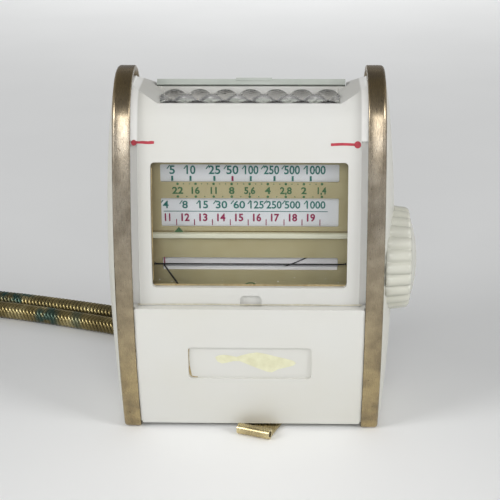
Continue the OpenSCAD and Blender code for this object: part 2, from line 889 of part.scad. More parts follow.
// Coil frame with its spindle, at the needle's rest angle
module moving_coil() {
    half = 0.35;
    color([0.7, 0.36, 0.2]) at_needle_rest() {
        difference() {
            box([-coil_r - half, magnet_y0 - 0.7, -1], [coil_r + half, magnet_y1 + 0.7, 1]);
            box([-coil_r + half, magnet_y0 - 0.2, -2], [coil_r - half, magnet_y1 + 0.2, 2]);
        }
        bar_y(-5.4, magnet_y0 - 0.2, spindle_r, [0, 0]);
        bar_y(magnet_y1 + 0.2, 5.5, spindle_r, [0, 0]);
        bar_y(front_bridge_y[0] + 0.1, -5.3, pivot_r, [0, 0]);
        bar_y(5.4, rear_bridge_y[1] - 0.1, pivot_r, [0, 0]);
    }
}

module at_needle_rest() {
    translate([pivot.x, 0, pivot.y]) rotate([0, needle_rest, 0]) children();
}

// Pointer that cranks forward over the mask, with a counterweight tail
module needle() {
    hub_y = -4.9;
    tip_y = mask_y0 - 1.4;
    crank = 20;
    color(black) at_needle_rest() {
        difference() {
            bar_y(hub_y - 0.3, hub_y + 0.3, 1.1, [0, 0]);
            bar_y(-far, 0, spindle_r + 0.01, [0, 0]);
        }
        along_x_wedge([[hub_y - 0.15, 0.9], [hub_y + 0.15, 0.9], [tip_y + 0.3, crank],
            [tip_y + 0.3, needle_len], [tip_y, needle_len], [tip_y, crank]]);
        box([-0.3, hub_y - 0.2, -3.4], [0.3, hub_y + 0.2, -0.9]);
    }
}

// Thin blade across X with the given [y, z] outline
module along_x_wedge(points) {
    side(-0.13, 0.13) polygon(points);
}

module hairspring(y) {
    turns = 3;
    steps = 16 * turns;
    function at(i, d) = let (a = i * 360 * turns / steps, r = 0.9 + 2.1 * i / steps + d)
        r * [cos(a), sin(a)];
    color(steel) along_y(y - 0.2, y + 0.2) translate(pivot) polygon(concat(
        [for (i = [0:steps]) at(i, -0.08)],
        [for (i = [steps:-1:0]) at(i, 0.08)]));
}

module hairspring_front() {
    hairspring(-3.9);
}

module hairspring_rear() {
    hairspring(4.6);
}

// Slotted screw in the back plate
module zero_screw() {
    face = on_back(back_r - face_in, pivot.y).x;
    color(steel) difference() {
        union() {
            bar_y(face - 2.6, face, 1.6, pivot);
            bar_y(face - 3.3, face - 2.5, 2.6, pivot);
            bar_y(rear_bridge_y[1] + 0.1, face - 3.2, 1, pivot);
        }
        box([-2, face - 0.6, pivot.y - 0.25], [2, far, pivot.y + 0.25]);
    }
}

// Frame of the strap: its Y runs from the swivel to the rear end
module at_strap() {
    translate([strap_pivot.x, strap_pivot.y, 0]) rotate([0, 0, -strap_turn]) children();
}

// Frame of the clamp: its X runs along the chain, away from the strap
module at_clamp() {
    translate([strap_end.x, strap_end.y, 0]) rotate([0, 0, chain_turn]) children();
}

module chain_strap() {
    reach = norm(strap_end - strap_pivot) + 4;
    color(brass) at_strap() difference() {
        union() {
            box([-strap_w / 2, -strap_front, strap_z0], [strap_w / 2, reach, strap_z0 + strap_t]);
            bar_x(-strap_w / 2, strap_w / 2, bead_r, [-strap_front, bead_r + 0.05]);
        }
        bar_x(-strap_w, strap_w, bead_r - strap_t, [-strap_front, bead_r + 0.05]);
        translate([0, 0, -1]) cylinder(r = 1.1, h = 3, $fn = round_fn);
        translate([0, 0, strap_z0 - 0.01])
            cylinder(r1 = 2.05, r2 = 1.1, h = strap_t + 0.02, $fn = round_fn);
        rivet_places() translate([0, 0, -1]) cylinder(r = 0.62, h = 3, $fn = round_fn);
    }
}

module rivet_places() {
    for (s = [-1, 1]) translate([0, norm(strap_end - strap_pivot) + s * 2.4, 0]) children();
}

module strap_screw() {
    color(brass) translate([strap_pivot.x, strap_pivot.y, 0]) {
        translate([0, 0, strap_z0])
            cylinder(r1 = 1.98, r2 = 0.98, h = strap_t, $fn = round_fn);
        translate([0, 0, strap_z0]) cylinder(r = 0.98, h = 3.7, $fn = round_fn);
    }
}

module strap_rivets() {
    color(brass) at_strap() rivet_places() translate([0, 0, strap_z0])
        cylinder(r = 0.6, h = 1.4, $fn = round_fn);
}

// Block with two closed ferrules for the ends of the chain
module chain_clamp() {
    base = strap_z0 + strap_t + flat_gap;
    color(brass) difference() {
        at_clamp() {
            box([-block_t / 2, -strand_gap / 2 - 2.4, base],
                [block_t / 2, strand_gap / 2 + 2.4, clamp_z + 2.2]);
            for (s = [-1, 1])
                bar_x(block_t / 2 - 0.2, block_t / 2 + ferrule_len, ferrule_r,
                    [s * strand_gap / 2, clamp_z]);
        }
        at_strap() rivet_places() translate([0, 0, 0]) cylinder(r = 0.62, h = 1.8, $fn = round_fn);
    }
}

// Routes of the two strands, chosen by hand, between the ferrules and the coil
chain_z = chain_d / 2 + 0.05;
rear_route = [[-6, 34], [-20, 39.2], [-36, 44.6], [-47, 48.2], [-56, 50.9], [-65, 53.2],
    [-73, 54.8], [-80, 55.6]];
front_route = [[-8, 27.1], [-20, 31.6], [-34, 36.9], [-46, 41.3], [-55, 44.3], [-64, 46.9],
    [-73, 49.2], [-80, 50.4]];

// Coil: the doubled chain wound inwards, with the loop's end turning round in the middle
coil_c = [-98, 24];
coil_pitch = 4.5;
coil_eye_r = 16;
coil_turns = 1.75;
coil_start = 87;
coil_rings = 24;

clamp_dir = [cos(chain_turn), sin(chain_turn)];
clamp_side = [sin(chain_turn), -cos(chain_turn)];
function mouth(s) = strap_end + (block_t / 2 + ferrule_len) * clamp_dir
    + s * strand_gap / 2 * clamp_side;

// Point of one arm of the coil, t turns in from where that arm starts
function arm_r(turns, t) = coil_eye_r + 2 * coil_pitch * (turns - t);
function arm(turns, t) = coil_c
    + arm_r(turns, t) * [cos(coil_start + 360 * t), sin(coil_start + 360 * t)];
function arm_points(turns) = let (n = ceil(turns * coil_rings))
    [for (i = [0:n]) arm(turns, turns * i / n)];
function arm_lead(turns) = let (p = arm(turns, 0), q = arm(turns, 0.01)) p - chain_d * unit(q - p);

// Half circles through the eye, from the end of the first arm to the end of the second
eye_steps = 10;
eye_angle = coil_start + 360 * coil_turns;
function eye(i) = let (a = 180 * i / eye_steps, h = coil_eye_r / 2)
    i <= eye_steps
    ? coil_c + h * [cos(eye_angle), sin(eye_angle)] + h * [cos(eye_angle + a), sin(eye_angle + a)]
    : coil_c - h * [cos(eye_angle), sin(eye_angle)]
        + h * [cos(eye_angle - a + 180), sin(eye_angle - a + 180)];
function backwards(v) = [for (i = [len(v) - 1:-1:0]) v[i]];
coil_path = concat([arm_lead(coil_turns)], arm_points(coil_turns),
    [for (i = [1:2 * eye_steps - 1]) eye(i)],
    backwards(arm_points(coil_turns - 0.5)), [arm_lead(coil_turns - 0.5)]);

// One strand: straight out of its ferrule, along its route, then straight into the coil
function strand(s, route, turns) =
    let (m = mouth(s), e = arm_lead(turns), d = unit(arm(turns, 0) - e))
    concat([[m.x, m.y, clamp_z], [m.x + 4 * clamp_dir.x, m.y + 4 * clamp_dir.y, clamp_z]],
        [for (p = route) [p.x, p.y, chain_z]],
        [[e.x - 4 * d.x, e.y - 4 * d.y, chain_z], [e.x, e.y, chain_z]]);

rear_path = strand(1, rear_route, coil_turns);
front_path = strand(-1, front_route, coil_turns - 0.5);
coil_line = [for (p = coil_path) [p.x, p.y, chain_z]];

// Lengths and the least gap between turns, for the record
function path_len(p, i = 1) = i >= len(p) ? 0 : norm(p[i] - p[i - 1]) + path_len(p, i + 1);
function far_points(p, i) = [for (j = [i + 9:1:len(p) - 1]) norm(p[i] - p[j])];
least_gap = min([for (i = [0:len(coil_line) - 10]) min(far_points(coil_line, i))]) - chain_d;
echo(chain_length = path_len(rear_path) + path_len(front_path) + path_len(coil_line));
echo(coil_length = path_len(coil_line), coil_least_gap = least_gap);

// Tube of n sides swept along a nearly level path
function heading(p, i) = unit(p[min(i + 1, len(p) - 1)] - p[max(i - 1, 0)]);
module swept(p, r, n) {
    last = len(p) - 1;
    rings = [for (i = [0:last]) let (t = heading(p, i), s = unit(cross(t, [0, 0, 1])), u = cross(s, t))
        for (k = [0:n - 1]) p[i] + r * (cos(360 * k / n - 90) * s + sin(360 * k / n - 90) * u)];
    walls = [for (i = [0:last - 1]) for (k = [0:n - 1])
        let (a = i * n + k, b = i * n + (k + 1) % n)
        for (f = [[a, b, b + n], [a, b + n, a + n]]) f];
    ends = concat(
        [for (k = [1:n - 2]) [0, k + 1, k]],
        [for (k = [1:n - 2]) [last * n, last * n + k, last * n + k + 1]]);
    polyhedron(points = rings, faces = concat(walls, ends));
}

module chain_strand_rear() {
    color(brass) swept(rear_path, chain_d / 2, 8);
}

module chain_strand_front() {
    color(brass) swept(front_path, chain_d / 2, 8);
}

module chain_coil() {
    color(brass) swept(coil_line, chain_d / 2, 6);
}

case_body();
case_back();
back_screws();
left_band();
right_band();
left_cheek();
right_cheek();
cheek_screws();
window_pane();
mask_plate();
mask_screws();
divider_bar();
hairline();
front_cover();
honeycomb_lens();
light_cell();
cell_frame();
lead_wires();
filter_shutter();
knob();
knob_screw();
knob_shaft();
knob_bush();
knob_washer();
pointer_drum();
scale_carriage();
upper_strip();
lower_strip();
guide_rod();
movement_bridge();
front_bridge();
bridge_pillars();
movement_screws();
flux_ring();
core_magnet();
core_holder();
moving_coil();
needle();
hairspring_front();
hairspring_rear();
zero_screw();
chain_strap();
strap_screw();
strap_rivets();
chain_clamp();
chain_strand_rear();
chain_strand_front();
chain_coil();
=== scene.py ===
# %% [markdown]
# # A hand light meter with a colour temperature index
# The meter is a cream moulding held between two brass bands, with a scale window, a sliding
# cover and a doubled snake chain. The solids come packed from CAD. This lesson dresses them:
# it fits the camera, lays the chain, prints the scales and gives each finish its own nodes.

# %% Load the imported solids
import math
import bpy
import bmesh
from mathutils import Matrix, Vector


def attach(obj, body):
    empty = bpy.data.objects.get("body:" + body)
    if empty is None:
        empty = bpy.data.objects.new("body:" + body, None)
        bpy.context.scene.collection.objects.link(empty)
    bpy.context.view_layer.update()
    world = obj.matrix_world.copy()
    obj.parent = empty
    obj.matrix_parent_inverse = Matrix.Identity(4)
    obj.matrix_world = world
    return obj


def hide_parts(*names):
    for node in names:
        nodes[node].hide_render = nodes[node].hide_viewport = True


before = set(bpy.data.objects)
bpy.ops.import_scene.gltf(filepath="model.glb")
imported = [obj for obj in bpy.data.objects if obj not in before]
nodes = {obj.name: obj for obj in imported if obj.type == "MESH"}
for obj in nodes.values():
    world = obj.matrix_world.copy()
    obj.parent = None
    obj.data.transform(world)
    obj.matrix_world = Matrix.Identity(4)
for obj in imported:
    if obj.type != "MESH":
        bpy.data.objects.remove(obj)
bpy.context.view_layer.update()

MM = 0.001

# %% [markdown]
# ## The camera
# The two bands are straight, parallel and of known size, so their four edges fix where the
# camera stood. A least-squares fit of those edges and of the window's corners gave a long lens
# about 28 cm away, 21 degrees above the table and slightly to the right.

# %% Place the camera
YAW, PITCH, ROLL = (math.radians(a) for a in (1.717, 20.836, -0.355))
CAMERA_AT = (7.313, -251.001, 131.392)
LENS_PIXELS, VIEW_PIXELS = 1319.0, 500.0


def camera_axes():
    """Right, up and forward of the fitted camera, as unit vectors."""
    ahead = Vector((-math.sin(YAW) * math.cos(PITCH), math.cos(YAW) * math.cos(PITCH),
                    -math.sin(PITCH)))
    level = Vector((math.cos(YAW), math.sin(YAW), 0))
    above = level.cross(ahead)
    right = math.cos(ROLL) * level + math.sin(ROLL) * above
    up = math.cos(ROLL) * above - math.sin(ROLL) * level
    return right, up, ahead


def make_camera():
    data = bpy.data.cameras.new("camera")
    data.sensor_width = 36.0
    data.lens = LENS_PIXELS / VIEW_PIXELS * data.sensor_width
    data.clip_start = 0.01
    camera = bpy.data.objects.new("camera", data)
    bpy.context.collection.objects.link(camera)
    right, up, ahead = camera_axes()
    rows = [(right[i], up[i], -ahead[i], p * MM) for i, p in enumerate(CAMERA_AT)]
    camera.matrix_world = Matrix((*rows, (0, 0, 0, 1)))
    bpy.context.scene.camera = camera
    print("lens in mm:", round(data.lens, 1))


make_camera()

# %% [markdown]
# ## Colours and small helpers
# Colours are easiest to read off a photograph as 0 to 255, but shaders work in linear light.
# One helper converts them. Two classes add and join nodes, so that each finish below reads as a
# short recipe.

# %% Helpers for finishes
def ink(r, g, b):
    """A colour given as 0 to 255, in linear light, with full alpha."""
    lin = [c / 255 / 12.92 if c / 255 <= 0.04045 else ((c / 255 + 0.055) / 1.055) ** 2.4
           for c in (r, g, b)]
    return (*lin, 1.0)


class Nodes:
    """A node tree being built."""

    def __init__(self, tree):
        self.tree = tree

    def feed(self, socket, value):
        """Links another node's output to an input, or gives the input a value."""
        if isinstance(value, bpy.types.NodeSocket):
            self.tree.links.new(value, socket)
        else:
            socket.default_value = value

    def add(self, kind, *joined, **named):
        """A node. Joined go to its first input, named to its settings or, capitalised, inputs."""
        node = self.tree.nodes.new(kind)
        for value in joined:
            self.feed(node.inputs[0], value)
        for name, value in named.items():
            if name[0].isupper():
                self.feed(node.inputs[name.replace("_", " ")], value)
            else:
                setattr(node, name, value)
        return node


class Finish(Nodes):
    """A material being built, with its main shader and the object coordinates."""

    def __init__(self, name):
        self.mat = bpy.data.materials.new(name)
        self.mat.use_nodes = True
        super().__init__(self.mat.node_tree)
        self.shader = self.tree.nodes["Principled BSDF"]
        self.place = self.add("ShaderNodeTexCoord").outputs["Object"]

    def set(self, **sockets):
        """Feeds the main shader's inputs."""
        for name, value in sockets.items():
            self.feed(self.shader.inputs[name.replace("_", " ")], value)

    def along(self, axis):
        """The coordinate along one axis; an object's is in metres."""
        return self.add("ShaderNodeSeparateXYZ", self.place).outputs[axis]

    def maths(self, operation, *values):
        """Arithmetic on sockets and numbers."""
        node = self.add("ShaderNodeMath", operation=operation)
        for socket, value in zip(node.inputs, values):
            self.feed(socket, value)
        return node.outputs["Value"]

    def noise(self, size_mm, detail, stretch=(1, 1, 1)):
        """Noise whose blotches are about size_mm across."""
        turn = self.add("ShaderNodeMapping", self.place, Scale=stretch)
        return self.add("ShaderNodeTexNoise", turn.outputs["Vector"], Scale=1 / (size_mm * MM),
                        Detail=detail).outputs["Fac"]

    def ramp(self, fac, stops):
        """A colour ramp with (position, colour) stops."""
        band = self.add("ShaderNodeValToRGB", fac)
        points = band.color_ramp.elements
        while len(points) < len(stops):
            points.new(0.5)
        for point, (at, colour) in zip(points, stops):
            point.position = at
            point.color = colour
        return band.outputs["Color"]

    def spread(self, fac, low, high, at=(0.35, 0.65)):
        """Maps a factor to the range from low to high."""
        return self.add("ShaderNodeMapRange", fac, From_Min=at[0], From_Max=at[1], To_Min=low,
                        To_Max=high).outputs["Result"]

    def mix(self, fac, a, b):
        """Mixes two colours by a factor; each may be a socket or a value."""
        node = self.add("ShaderNodeMix", data_type="RGBA")
        for index, value in ((0, fac), (6, a), (7, b)):
            self.feed(node.inputs[index], value)
        return node.outputs[2]

    def bump(self, fac, height_mm, strength):
        lift = self.add("ShaderNodeBump", Height=fac, Strength=strength, Distance=height_mm * MM)
        self.set(Normal=lift.outputs["Normal"])


def wear(node_name, finish):
    """Gives a CAD node one finish on all its faces."""
    obj = nodes[node_name]
    obj.data.materials.clear()
    obj.data.materials.append(finish)


# %% [markdown]
# ## Cream plastic
# The case was white once. It has yellowed a little, unevenly, and has a polished skin with fine
# ripples from the mould. Broad noise shifts the colour, fine noise roughens the gloss and gives
# a very shallow bump. The grooves beside the bands are painted whiter, as painted light that
# lifts the shade the bands cast into them.

# %% Make the cream plastic
# Painted light: the grooves beside the bands are coloured whiter to lift the shade the bands cast
# into them.
GROOVE_PAINTED_LIGHT = (244, 244, 241)
GROOVE_FROM, GROOVE_TO = (0.0213, 0.0216), (0.0232, 0.0236)


def groove_share(made):
    """1 where the case's grooves run beside the bands, else 0."""
    side = made.maths("ABSOLUTE", made.along("X"))
    return made.maths("MULTIPLY", made.spread(side, 0.0, 1.0, GROOVE_FROM),
                      made.spread(side, 1.0, 0.0, GROOVE_TO))


def cream_plastic(name, tone, gloss=(0.34, 0.46), shine=0.3, grooves=False):
    made = Finish(name)
    warm = tuple(c * k for c, k in zip(tone, (0.99, 0.985, 0.965)))
    aged = made.ramp(made.noise(16, 2), [(0.2, ink(*tone)), (0.8, ink(*warm))])
    # With grooves set, the painted light in the grooves is mixed into the base colour.
    if grooves:
        aged = made.mix(groove_share(made), aged, ink(*GROOVE_PAINTED_LIGHT))
    made.bump(made.noise(1.1, 2), 0.012, 0.15)
    made.set(Base_Color=aged, Roughness=made.spread(made.noise(2.5, 4), *gloss), IOR=1.5,
             Specular_IOR_Level=shine)
    return made.mat


cream = cream_plastic("cream_plastic", (208, 208, 205), grooves=True)
cream_cover = cream_plastic("cream_cover", (213, 213, 209))
cream_cheek = cream_plastic("cream_cheek", (205, 205, 199))
# The knob's cream is a darker copy of the case's, partly for its dirt and partly as painted shade.
cream_knob = cream_plastic("cream_knob", (200, 200, 190), (0.14, 0.24), 0.55)

# %% [markdown]
# ## Brass
# The bands were drawn through a die and then polished lengthwise, so their scratches run
# along the strip. Handling has left the lower part yellower. The tops are darker and browner.
# Stretching the noise along the strip's own width gives the brushed look, and gradients of height
# the yellow stain and the darker tops.

# %% Make the brasses
# The tops of the bands are darker and browner.
BAND_TOP_BROWN = (142, 122, 84)


def brass(name, clean, stained, tarnish, turn_z):
    """Brass that is clean in the middle, stained below turn_z and brown at the top."""
    made = Finish(name)
    height = made.along("Z")
    low = made.spread(height, 1.0, 0.0, turn_z)
    blotch = made.spread(made.noise(4, 5), 0.0, 0.7, (0.42, 0.7))
    fresh = made.mix(low, ink(*clean), ink(*stained))
    high = made.spread(height, 0.0, 0.85, (0.062, 0.0715))
    fresh = made.mix(high, fresh, ink(*BAND_TOP_BROWN))
    worn = made.mix(blotch, fresh, ink(*tarnish))
    pits = made.spread(made.noise(1.1, 2), 0.0, 0.7, (0.7, 0.76))
    lines = made.noise(0.9, 4, (8, 0.7, 0.7))
    made.bump(lines, 0.01, 0.5)
    made.set(Base_Color=made.mix(pits, worn, ink(66, 54, 34)),
             Roughness=made.spread(lines, 0.2, 0.33), Metallic=1.0)
    return made.mat


band_brass = brass("band_brass", (166, 156, 140), (178, 160, 122), (120, 108, 90), (0.012, 0.045))
strap_brass = brass("strap_brass", (226, 212, 172), (214, 198, 152), (160, 144, 108), (0.0, 0.01))
plain_brass = brass("plain_brass", (206, 182, 122), (190, 160, 100), (160, 138, 92), (0.0, 0.05))

# %% [markdown]
# ## The neck chain
# A snake chain is a row of cupped links that look like a ribbed hose. This one is doubled: both
# ends are held under the body, and the loop that hangs round the neck is wound up beside it.
# The route repeats the points of the CAD source, so that the links lie where its solids are.

# %% Work out the route of the chain
CHAIN_D = 3.8
LINK_D = 4.1
CHAIN_Z = LINK_D / 2 + 0.02
CLAMP_Z = 3.15
STRAP_END = (14.4, 22.4)
CHAIN_TURN = math.radians(159)
MOUTH_AT = 3.5 / 2 + 8
STRAND_GAP = 7.2
REAR_ROUTE = [(-6, 34), (-20, 39.2), (-36, 44.6), (-47, 48.2), (-56, 50.9), (-65, 53.2),
              (-73, 54.8), (-80, 55.6)]
FRONT_ROUTE = [(-8, 27.1), (-20, 31.6), (-34, 36.9), (-46, 41.3), (-55, 44.3), (-64, 46.9),
               (-73, 49.2), (-80, 50.4)]
COIL_C = (-98, 24)
COIL_PITCH = 4.5
COIL_EYE_R = 16
COIL_TURNS = 1.75
COIL_START = math.radians(87)
COIL_RINGS = 24
EYE_STEPS = 10


def along(at, angle, step):
    return (at[0] + step * math.cos(angle), at[1] + step * math.sin(angle))


def mouth(side):
    """Where a strand leaves its ferrule: side is 1 at the rear and -1 at the front."""
    return along(along(STRAP_END, CHAIN_TURN, MOUTH_AT), CHAIN_TURN - math.pi / 2,
                 side * STRAND_GAP / 2)


def arm(turns, t):
    radius = COIL_EYE_R + 2 * COIL_PITCH * (turns - t)
    return along(COIL_C, COIL_START + 2 * math.pi * t, radius)


def arm_points(turns):
    count = math.ceil(turns * COIL_RINGS)
    return [arm(turns, turns * i / count) for i in range(count + 1)]


def lead(turns):
    """The point one link width ahead of where an arm of the coil starts, and its heading."""
    p, q = Vector(arm(turns, 0)), Vector(arm(turns, 0.01))
    heading = (q - p).normalized()
    return p - CHAIN_D * heading, heading


def eye_points():
    """Two half circles through the middle of the coil."""
    angle = COIL_START + 2 * math.pi * COIL_TURNS
    half = COIL_EYE_R / 2
    first, second = along(COIL_C, angle, half), along(COIL_C, angle, -half)
    turn = [math.pi * i / EYE_STEPS for i in range(1, 2 * EYE_STEPS)]
    return [along(first, angle + a, half) if a <= math.pi
            else along(second, angle - a + math.pi, half) for a in turn]


def strand(side, route, turns):
    start = mouth(side)
    near = along(start, CHAIN_TURN, 4)
    end, heading = lead(turns)
    last = end - 4 * heading
    return ([(*start, CLAMP_Z), (*near, CLAMP_Z)] + [(*p, CHAIN_Z) for p in route]
            + [(last.x, last.y, CHAIN_Z), (end.x, end.y, CHAIN_Z)])


def chain_route():
    rear = strand(1, REAR_ROUTE, COIL_TURNS)
    front = strand(-1, FRONT_ROUTE, COIL_TURNS - 0.5)
    inward = arm_points(COIL_TURNS)
    outward = arm_points(COIL_TURNS - 0.5)[::-1]
    coil = [(*p, CHAIN_Z) for p in inward + eye_points() + outward]
    return [Vector(p) for p in rear + coil + front[::-1]]


def smooth(points, steps):
    """A Catmull-Rom curve through the points, which eases the corners of the route."""
    ends = [points[0] * 2 - points[1]] + points + [points[-1] * 2 - points[-2]]
    line = []
    for a, b, c, d in zip(ends, ends[1:], ends[2:], ends[3:]):
        for k in range(steps):
            t = k / steps
            line.append(0.5 * (2 * b + (c - a) * t + (2 * a - 5 * b + 4 * c - d) * t * t
                               + (3 * b - a - 3 * c + d) * t ** 3))
    return line + [points[-1]]


chain_line = [p * MM for p in smooth(chain_route(), 4)]

# %% [markdown]
# ## Helpers for meshes
# Shapes are built as bmesh, where vertices and faces are easy to add, and then baked into mesh
# data. Most are rows of rings joined by quads.

# %% Helpers for meshes
def baked(name, mesh):
    """Mesh data made from a bmesh, which is freed."""
    data = bpy.data.meshes.new(name)
    mesh.to_mesh(data)
    mesh.free()
    return data


def bridge(mesh, rings):
    """Quads between neighbouring rings of vertices."""
    for low, high in zip(rings, rings[1:]):
        for k in range(len(low)):
            n = (k + 1) % len(low)
            mesh.faces.new((low[k], low[n], high[n], high[k]))


def finished(name, data, smooth_faces=True):
    """An object at the origin, unturned and unscaled."""
    obj = bpy.data.objects.new(name, data)
    bpy.context.collection.objects.link(obj)
    if smooth_faces:
        data.polygons.foreach_set("use_smooth", [True] * len(data.polygons))
    return obj


def applied(obj):
    """Mesh data of an object with its modifiers applied."""
    bpy.context.view_layer.update()
    return bpy.data.meshes.new_from_object(
        obj.evaluated_get(bpy.context.evaluated_depsgraph_get()))


# %% [markdown]
# ## One link
# Seen from the side, each link is a cup whose rim runs in a zigzag round the chain, so that the
# row of rims reads as chevrons. A ring of a few dozen faces is enough, because there are
# hundreds of them. A number kept on each vertex, 1 on the rim and 0 in the groove, lets the
# finish darken the grooves.

# %% Model one link of the chain
LINK_PITCH = 0.95
CORE_SHARE, CORE_SIDES = 0.8, 8
CHEVRON_TURN = math.radians(45)


def link_mesh():
    """A ring round Z whose rim runs in a zigzag of two waves."""
    radius, around = LINK_D / 2 * MM, 16
    section = [(-0.56, 0.8, 0.0), (-0.36, 0.95, 0.8), (-0.05, 1.0, 1.0), (0.3, 0.94, 0.8),
               (0.56, 0.78, 0.0)]
    mesh = bmesh.new()
    rim = mesh.verts.layers.float.new("rim")
    rings = []
    for step, share, shine in section:
        ring = []
        for k in range(around):
            a = 2 * math.pi * k / around
            wave = 1.15 * abs(math.sin(a + CHEVRON_TURN))
            vert = mesh.verts.new((share * radius * math.cos(a), share * radius * math.sin(a),
                                   (step + wave) * LINK_PITCH * MM))
            vert[rim] = shine
            ring.append(vert)
        rings.append(ring)
    bridge(mesh, rings)
    return baked("chain_link", mesh)


# %% [markdown]
# ## Links along a curve
# Geometry Nodes repeat the link. Curve to Points gives each point a turn whose Z lies along the
# curve, which is how the link was modelled. A thin core tube closes the view between the rims.
# The tree ends in Realize Instances and Set Material, so that the result is one plain mesh.

# %% Build the tree that strings the links
def grow(name, seed, part, coat, plan, **sizes):
    """Repeats part over seed by a Geometry Nodes tree, and returns the result as mesh data.

    Sizes are the tree's named inputs. plan(add, source) builds the tree's middle and returns the
    socket where its geometry ends.
    """
    base, shape = finished("seed", seed, False), finished("part", part, False)
    made = Nodes(bpy.data.node_groups.new(name, "GeometryNodeTree"))
    sides = made.tree.interface
    for way in ("INPUT", "OUTPUT"):
        sides.new_socket("Geometry", in_out=way, socket_type="NodeSocketGeometry")
    inputs = [("Part", "NodeSocketObject", shape), ("Coat", "NodeSocketMaterial", coat)]
    inputs += [(label.replace("_", " "), "NodeSocketFloat", size) for label, size in sizes.items()]
    sockets = [(sides.new_socket(label, in_out="INPUT", socket_type=kind), value)
               for label, kind, value in inputs]
    source = made.add("NodeGroupInput").outputs
    real = made.add("GeometryNodeRealizeInstances", plan(made.add, source))
    coated = made.add("GeometryNodeSetMaterial", real.outputs[0], Material=source["Coat"])
    made.add("NodeGroupOutput", coated.outputs[0])
    live = base.modifiers.new("grow", "NODES")
    live.node_group = made.tree
    for socket, value in sockets:
        live[socket.identifier] = value
    data = applied(base)
    for helper in (base, shape):
        bpy.data.objects.remove(helper)
    return data


def string_links(add, source):
    points = add("GeometryNodeCurveToPoints", source["Geometry"], mode="LENGTH",
                 Length=source["Pitch"])
    shape = add("GeometryNodeObjectInfo", source["Part"])
    row = add("GeometryNodeInstanceOnPoints", points.outputs["Points"],
              Rotation=points.outputs["Rotation"], Instance=shape.outputs["Geometry"])
    ring = add("GeometryNodeCurvePrimitiveCircle", Resolution=CORE_SIDES,
               Radius=source["Core radius"])
    core = add("GeometryNodeCurveToMesh", source["Geometry"], Profile_Curve=ring.outputs["Curve"],
               Fill_Caps=True)
    return add("GeometryNodeJoinGeometry", row.outputs["Instances"],
               core.outputs["Mesh"]).outputs["Geometry"]


# %% [markdown]
# ## The chain's finish
# The chain has not been polished as the bands have. It is olive in the hollows, bright on the
# rims that rub, and green with damp at one place on the rear strand and two on the front one.
# The strands lie side by side and slant, so a sum of X and Y tells them apart.

# %% Make the chain's brass
STRAND_SLANT = 0.39
DAMP_FRONT = [(0.37, 0.0), (0.42, 0.9), (0.52, 0.9), (0.57, 0.0), (0.62, 0.0), (0.65, 0.6),
              (0.68, 0.6), (0.71, 0.0)]
DAMP_REAR = [(0.1, 0.2), (0.14, 1.0), (0.32, 1.0), (0.38, 0.1)]


def chain_finish():
    made = Finish("chain_brass")
    worn = made.ramp(made.noise(5, 4), [(0.3, ink(116, 102, 62)), (0.55, ink(150, 134, 86)),
                                        (0.75, ink(198, 184, 134))])
    rim = made.add("ShaderNodeAttribute", attribute_name="rim").outputs["Fac"]
    row = made.mix(rim, ink(30, 26, 15), worn)
    reach = made.spread(made.along("X"), 0.0, 1.0, (-0.07, -0.03))
    across = made.maths("MULTIPLY_ADD", made.along("X"), STRAND_SLANT, made.along("Y"))
    is_rear = made.spread(across, 0.0, 1.0, (0.0258, 0.0268))
    front, rear = (made.ramp(reach, [(at, (g, g, g, 1)) for at, g in zones])
                   for zones in (DAMP_FRONT, DAMP_REAR))
    spots = made.maths("MULTIPLY", made.spread(made.noise(3, 3), 0.0, 0.9, (0.4, 0.54)),
                       made.mix(is_rear, front, rear))
    made.set(Base_Color=made.mix(spots, row, ink(30, 78, 76)),
             Roughness=made.spread(made.noise(1.5, 3), 0.18, 0.3), Metallic=0.85,
             Coat_Weight=0.3, Coat_Roughness=0.15)
    return made.mat


chain_brass = chain_finish()

# %% [markdown]
# ## Making a piece
# Every finished piece rides on a body of the CAD, so that it moves with it. A piece that is finer
# than a CAD node also takes that node's place.

# %% Make a piece
def piece(name, data, coat, body, slot, *stands_for, smooth_faces=True):
    """A finished object that rides on a body; stands_for names the CAD nodes it replaces."""
    obj = finished(name, data, smooth_faces)
    if coat:
        data.materials.append(coat)
    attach(obj, body)
    if stands_for:
        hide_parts(*stands_for)
    return obj


def make_chain():
    guide = bpy.data.curves.new("chain_guide", "CURVE")
    guide.dimensions = "3D"
    spline = guide.splines.new("POLY")
    spline.points.add(len(chain_line) - 1)
    for point, p in zip(spline.points, chain_line):
        point.co = (*p, 1)
    return grow("string_links", guide, link_mesh(), chain_brass, string_links,
                Pitch=LINK_PITCH * MM, Core_radius=CORE_SHARE * CHAIN_D / 2 * MM)


neck_chain = piece("neck_chain", make_chain(), None, "strap", "brass_aged", "chain_strand_rear",
                   "chain_strand_front", "chain_coil")
print("chain faces:", len(neck_chain.data.polygons))

# %% [markdown]
# ## The side outline
# Bands and cheeks share one outline: two long arcs joined by round corners. A function gives it
# at any depth below the surface, with the same number of points each time, so that outlines at
# different depths can be skinned together.

# %% Draw the side outline
BODY_H, BODY_D = 73.3, 30.0
FRONT_R, FRONT_Z, BACK_R = 94.0, 32.5, 150.0
FRONT_TOP_R, BACK_TOP_R, FRONT_FOOT_R, BACK_FOOT_R = 12, 10, 1.5, 2.5
FRONT_C = (-BODY_D / 2 + FRONT_R, FRONT_Z)
BACK_C = (BODY_D / 2 - BACK_R, BODY_H / 2)
BAND_X1 = 26.15
BAND_X0 = BAND_X1 - 3.5


def on_arc(centre, radius, z, side):
    return (centre[0] + side * math.sqrt(radius ** 2 - (z - centre[1]) ** 2), z)


def corner(centre, arc_r, r, z, side):
    """Centre of a corner circle that touches an arc, and the angle at which it does."""
    c = on_arc(centre, arc_r - r, z, side)
    return c, math.atan2(c[1] - centre[1], c[0] - centre[0]) % (2 * math.pi)


def sweep(centre, r, a0, a1, count):
    return [along(centre, a0 + (a1 - a0) * i / count, r) for i in range(count)]


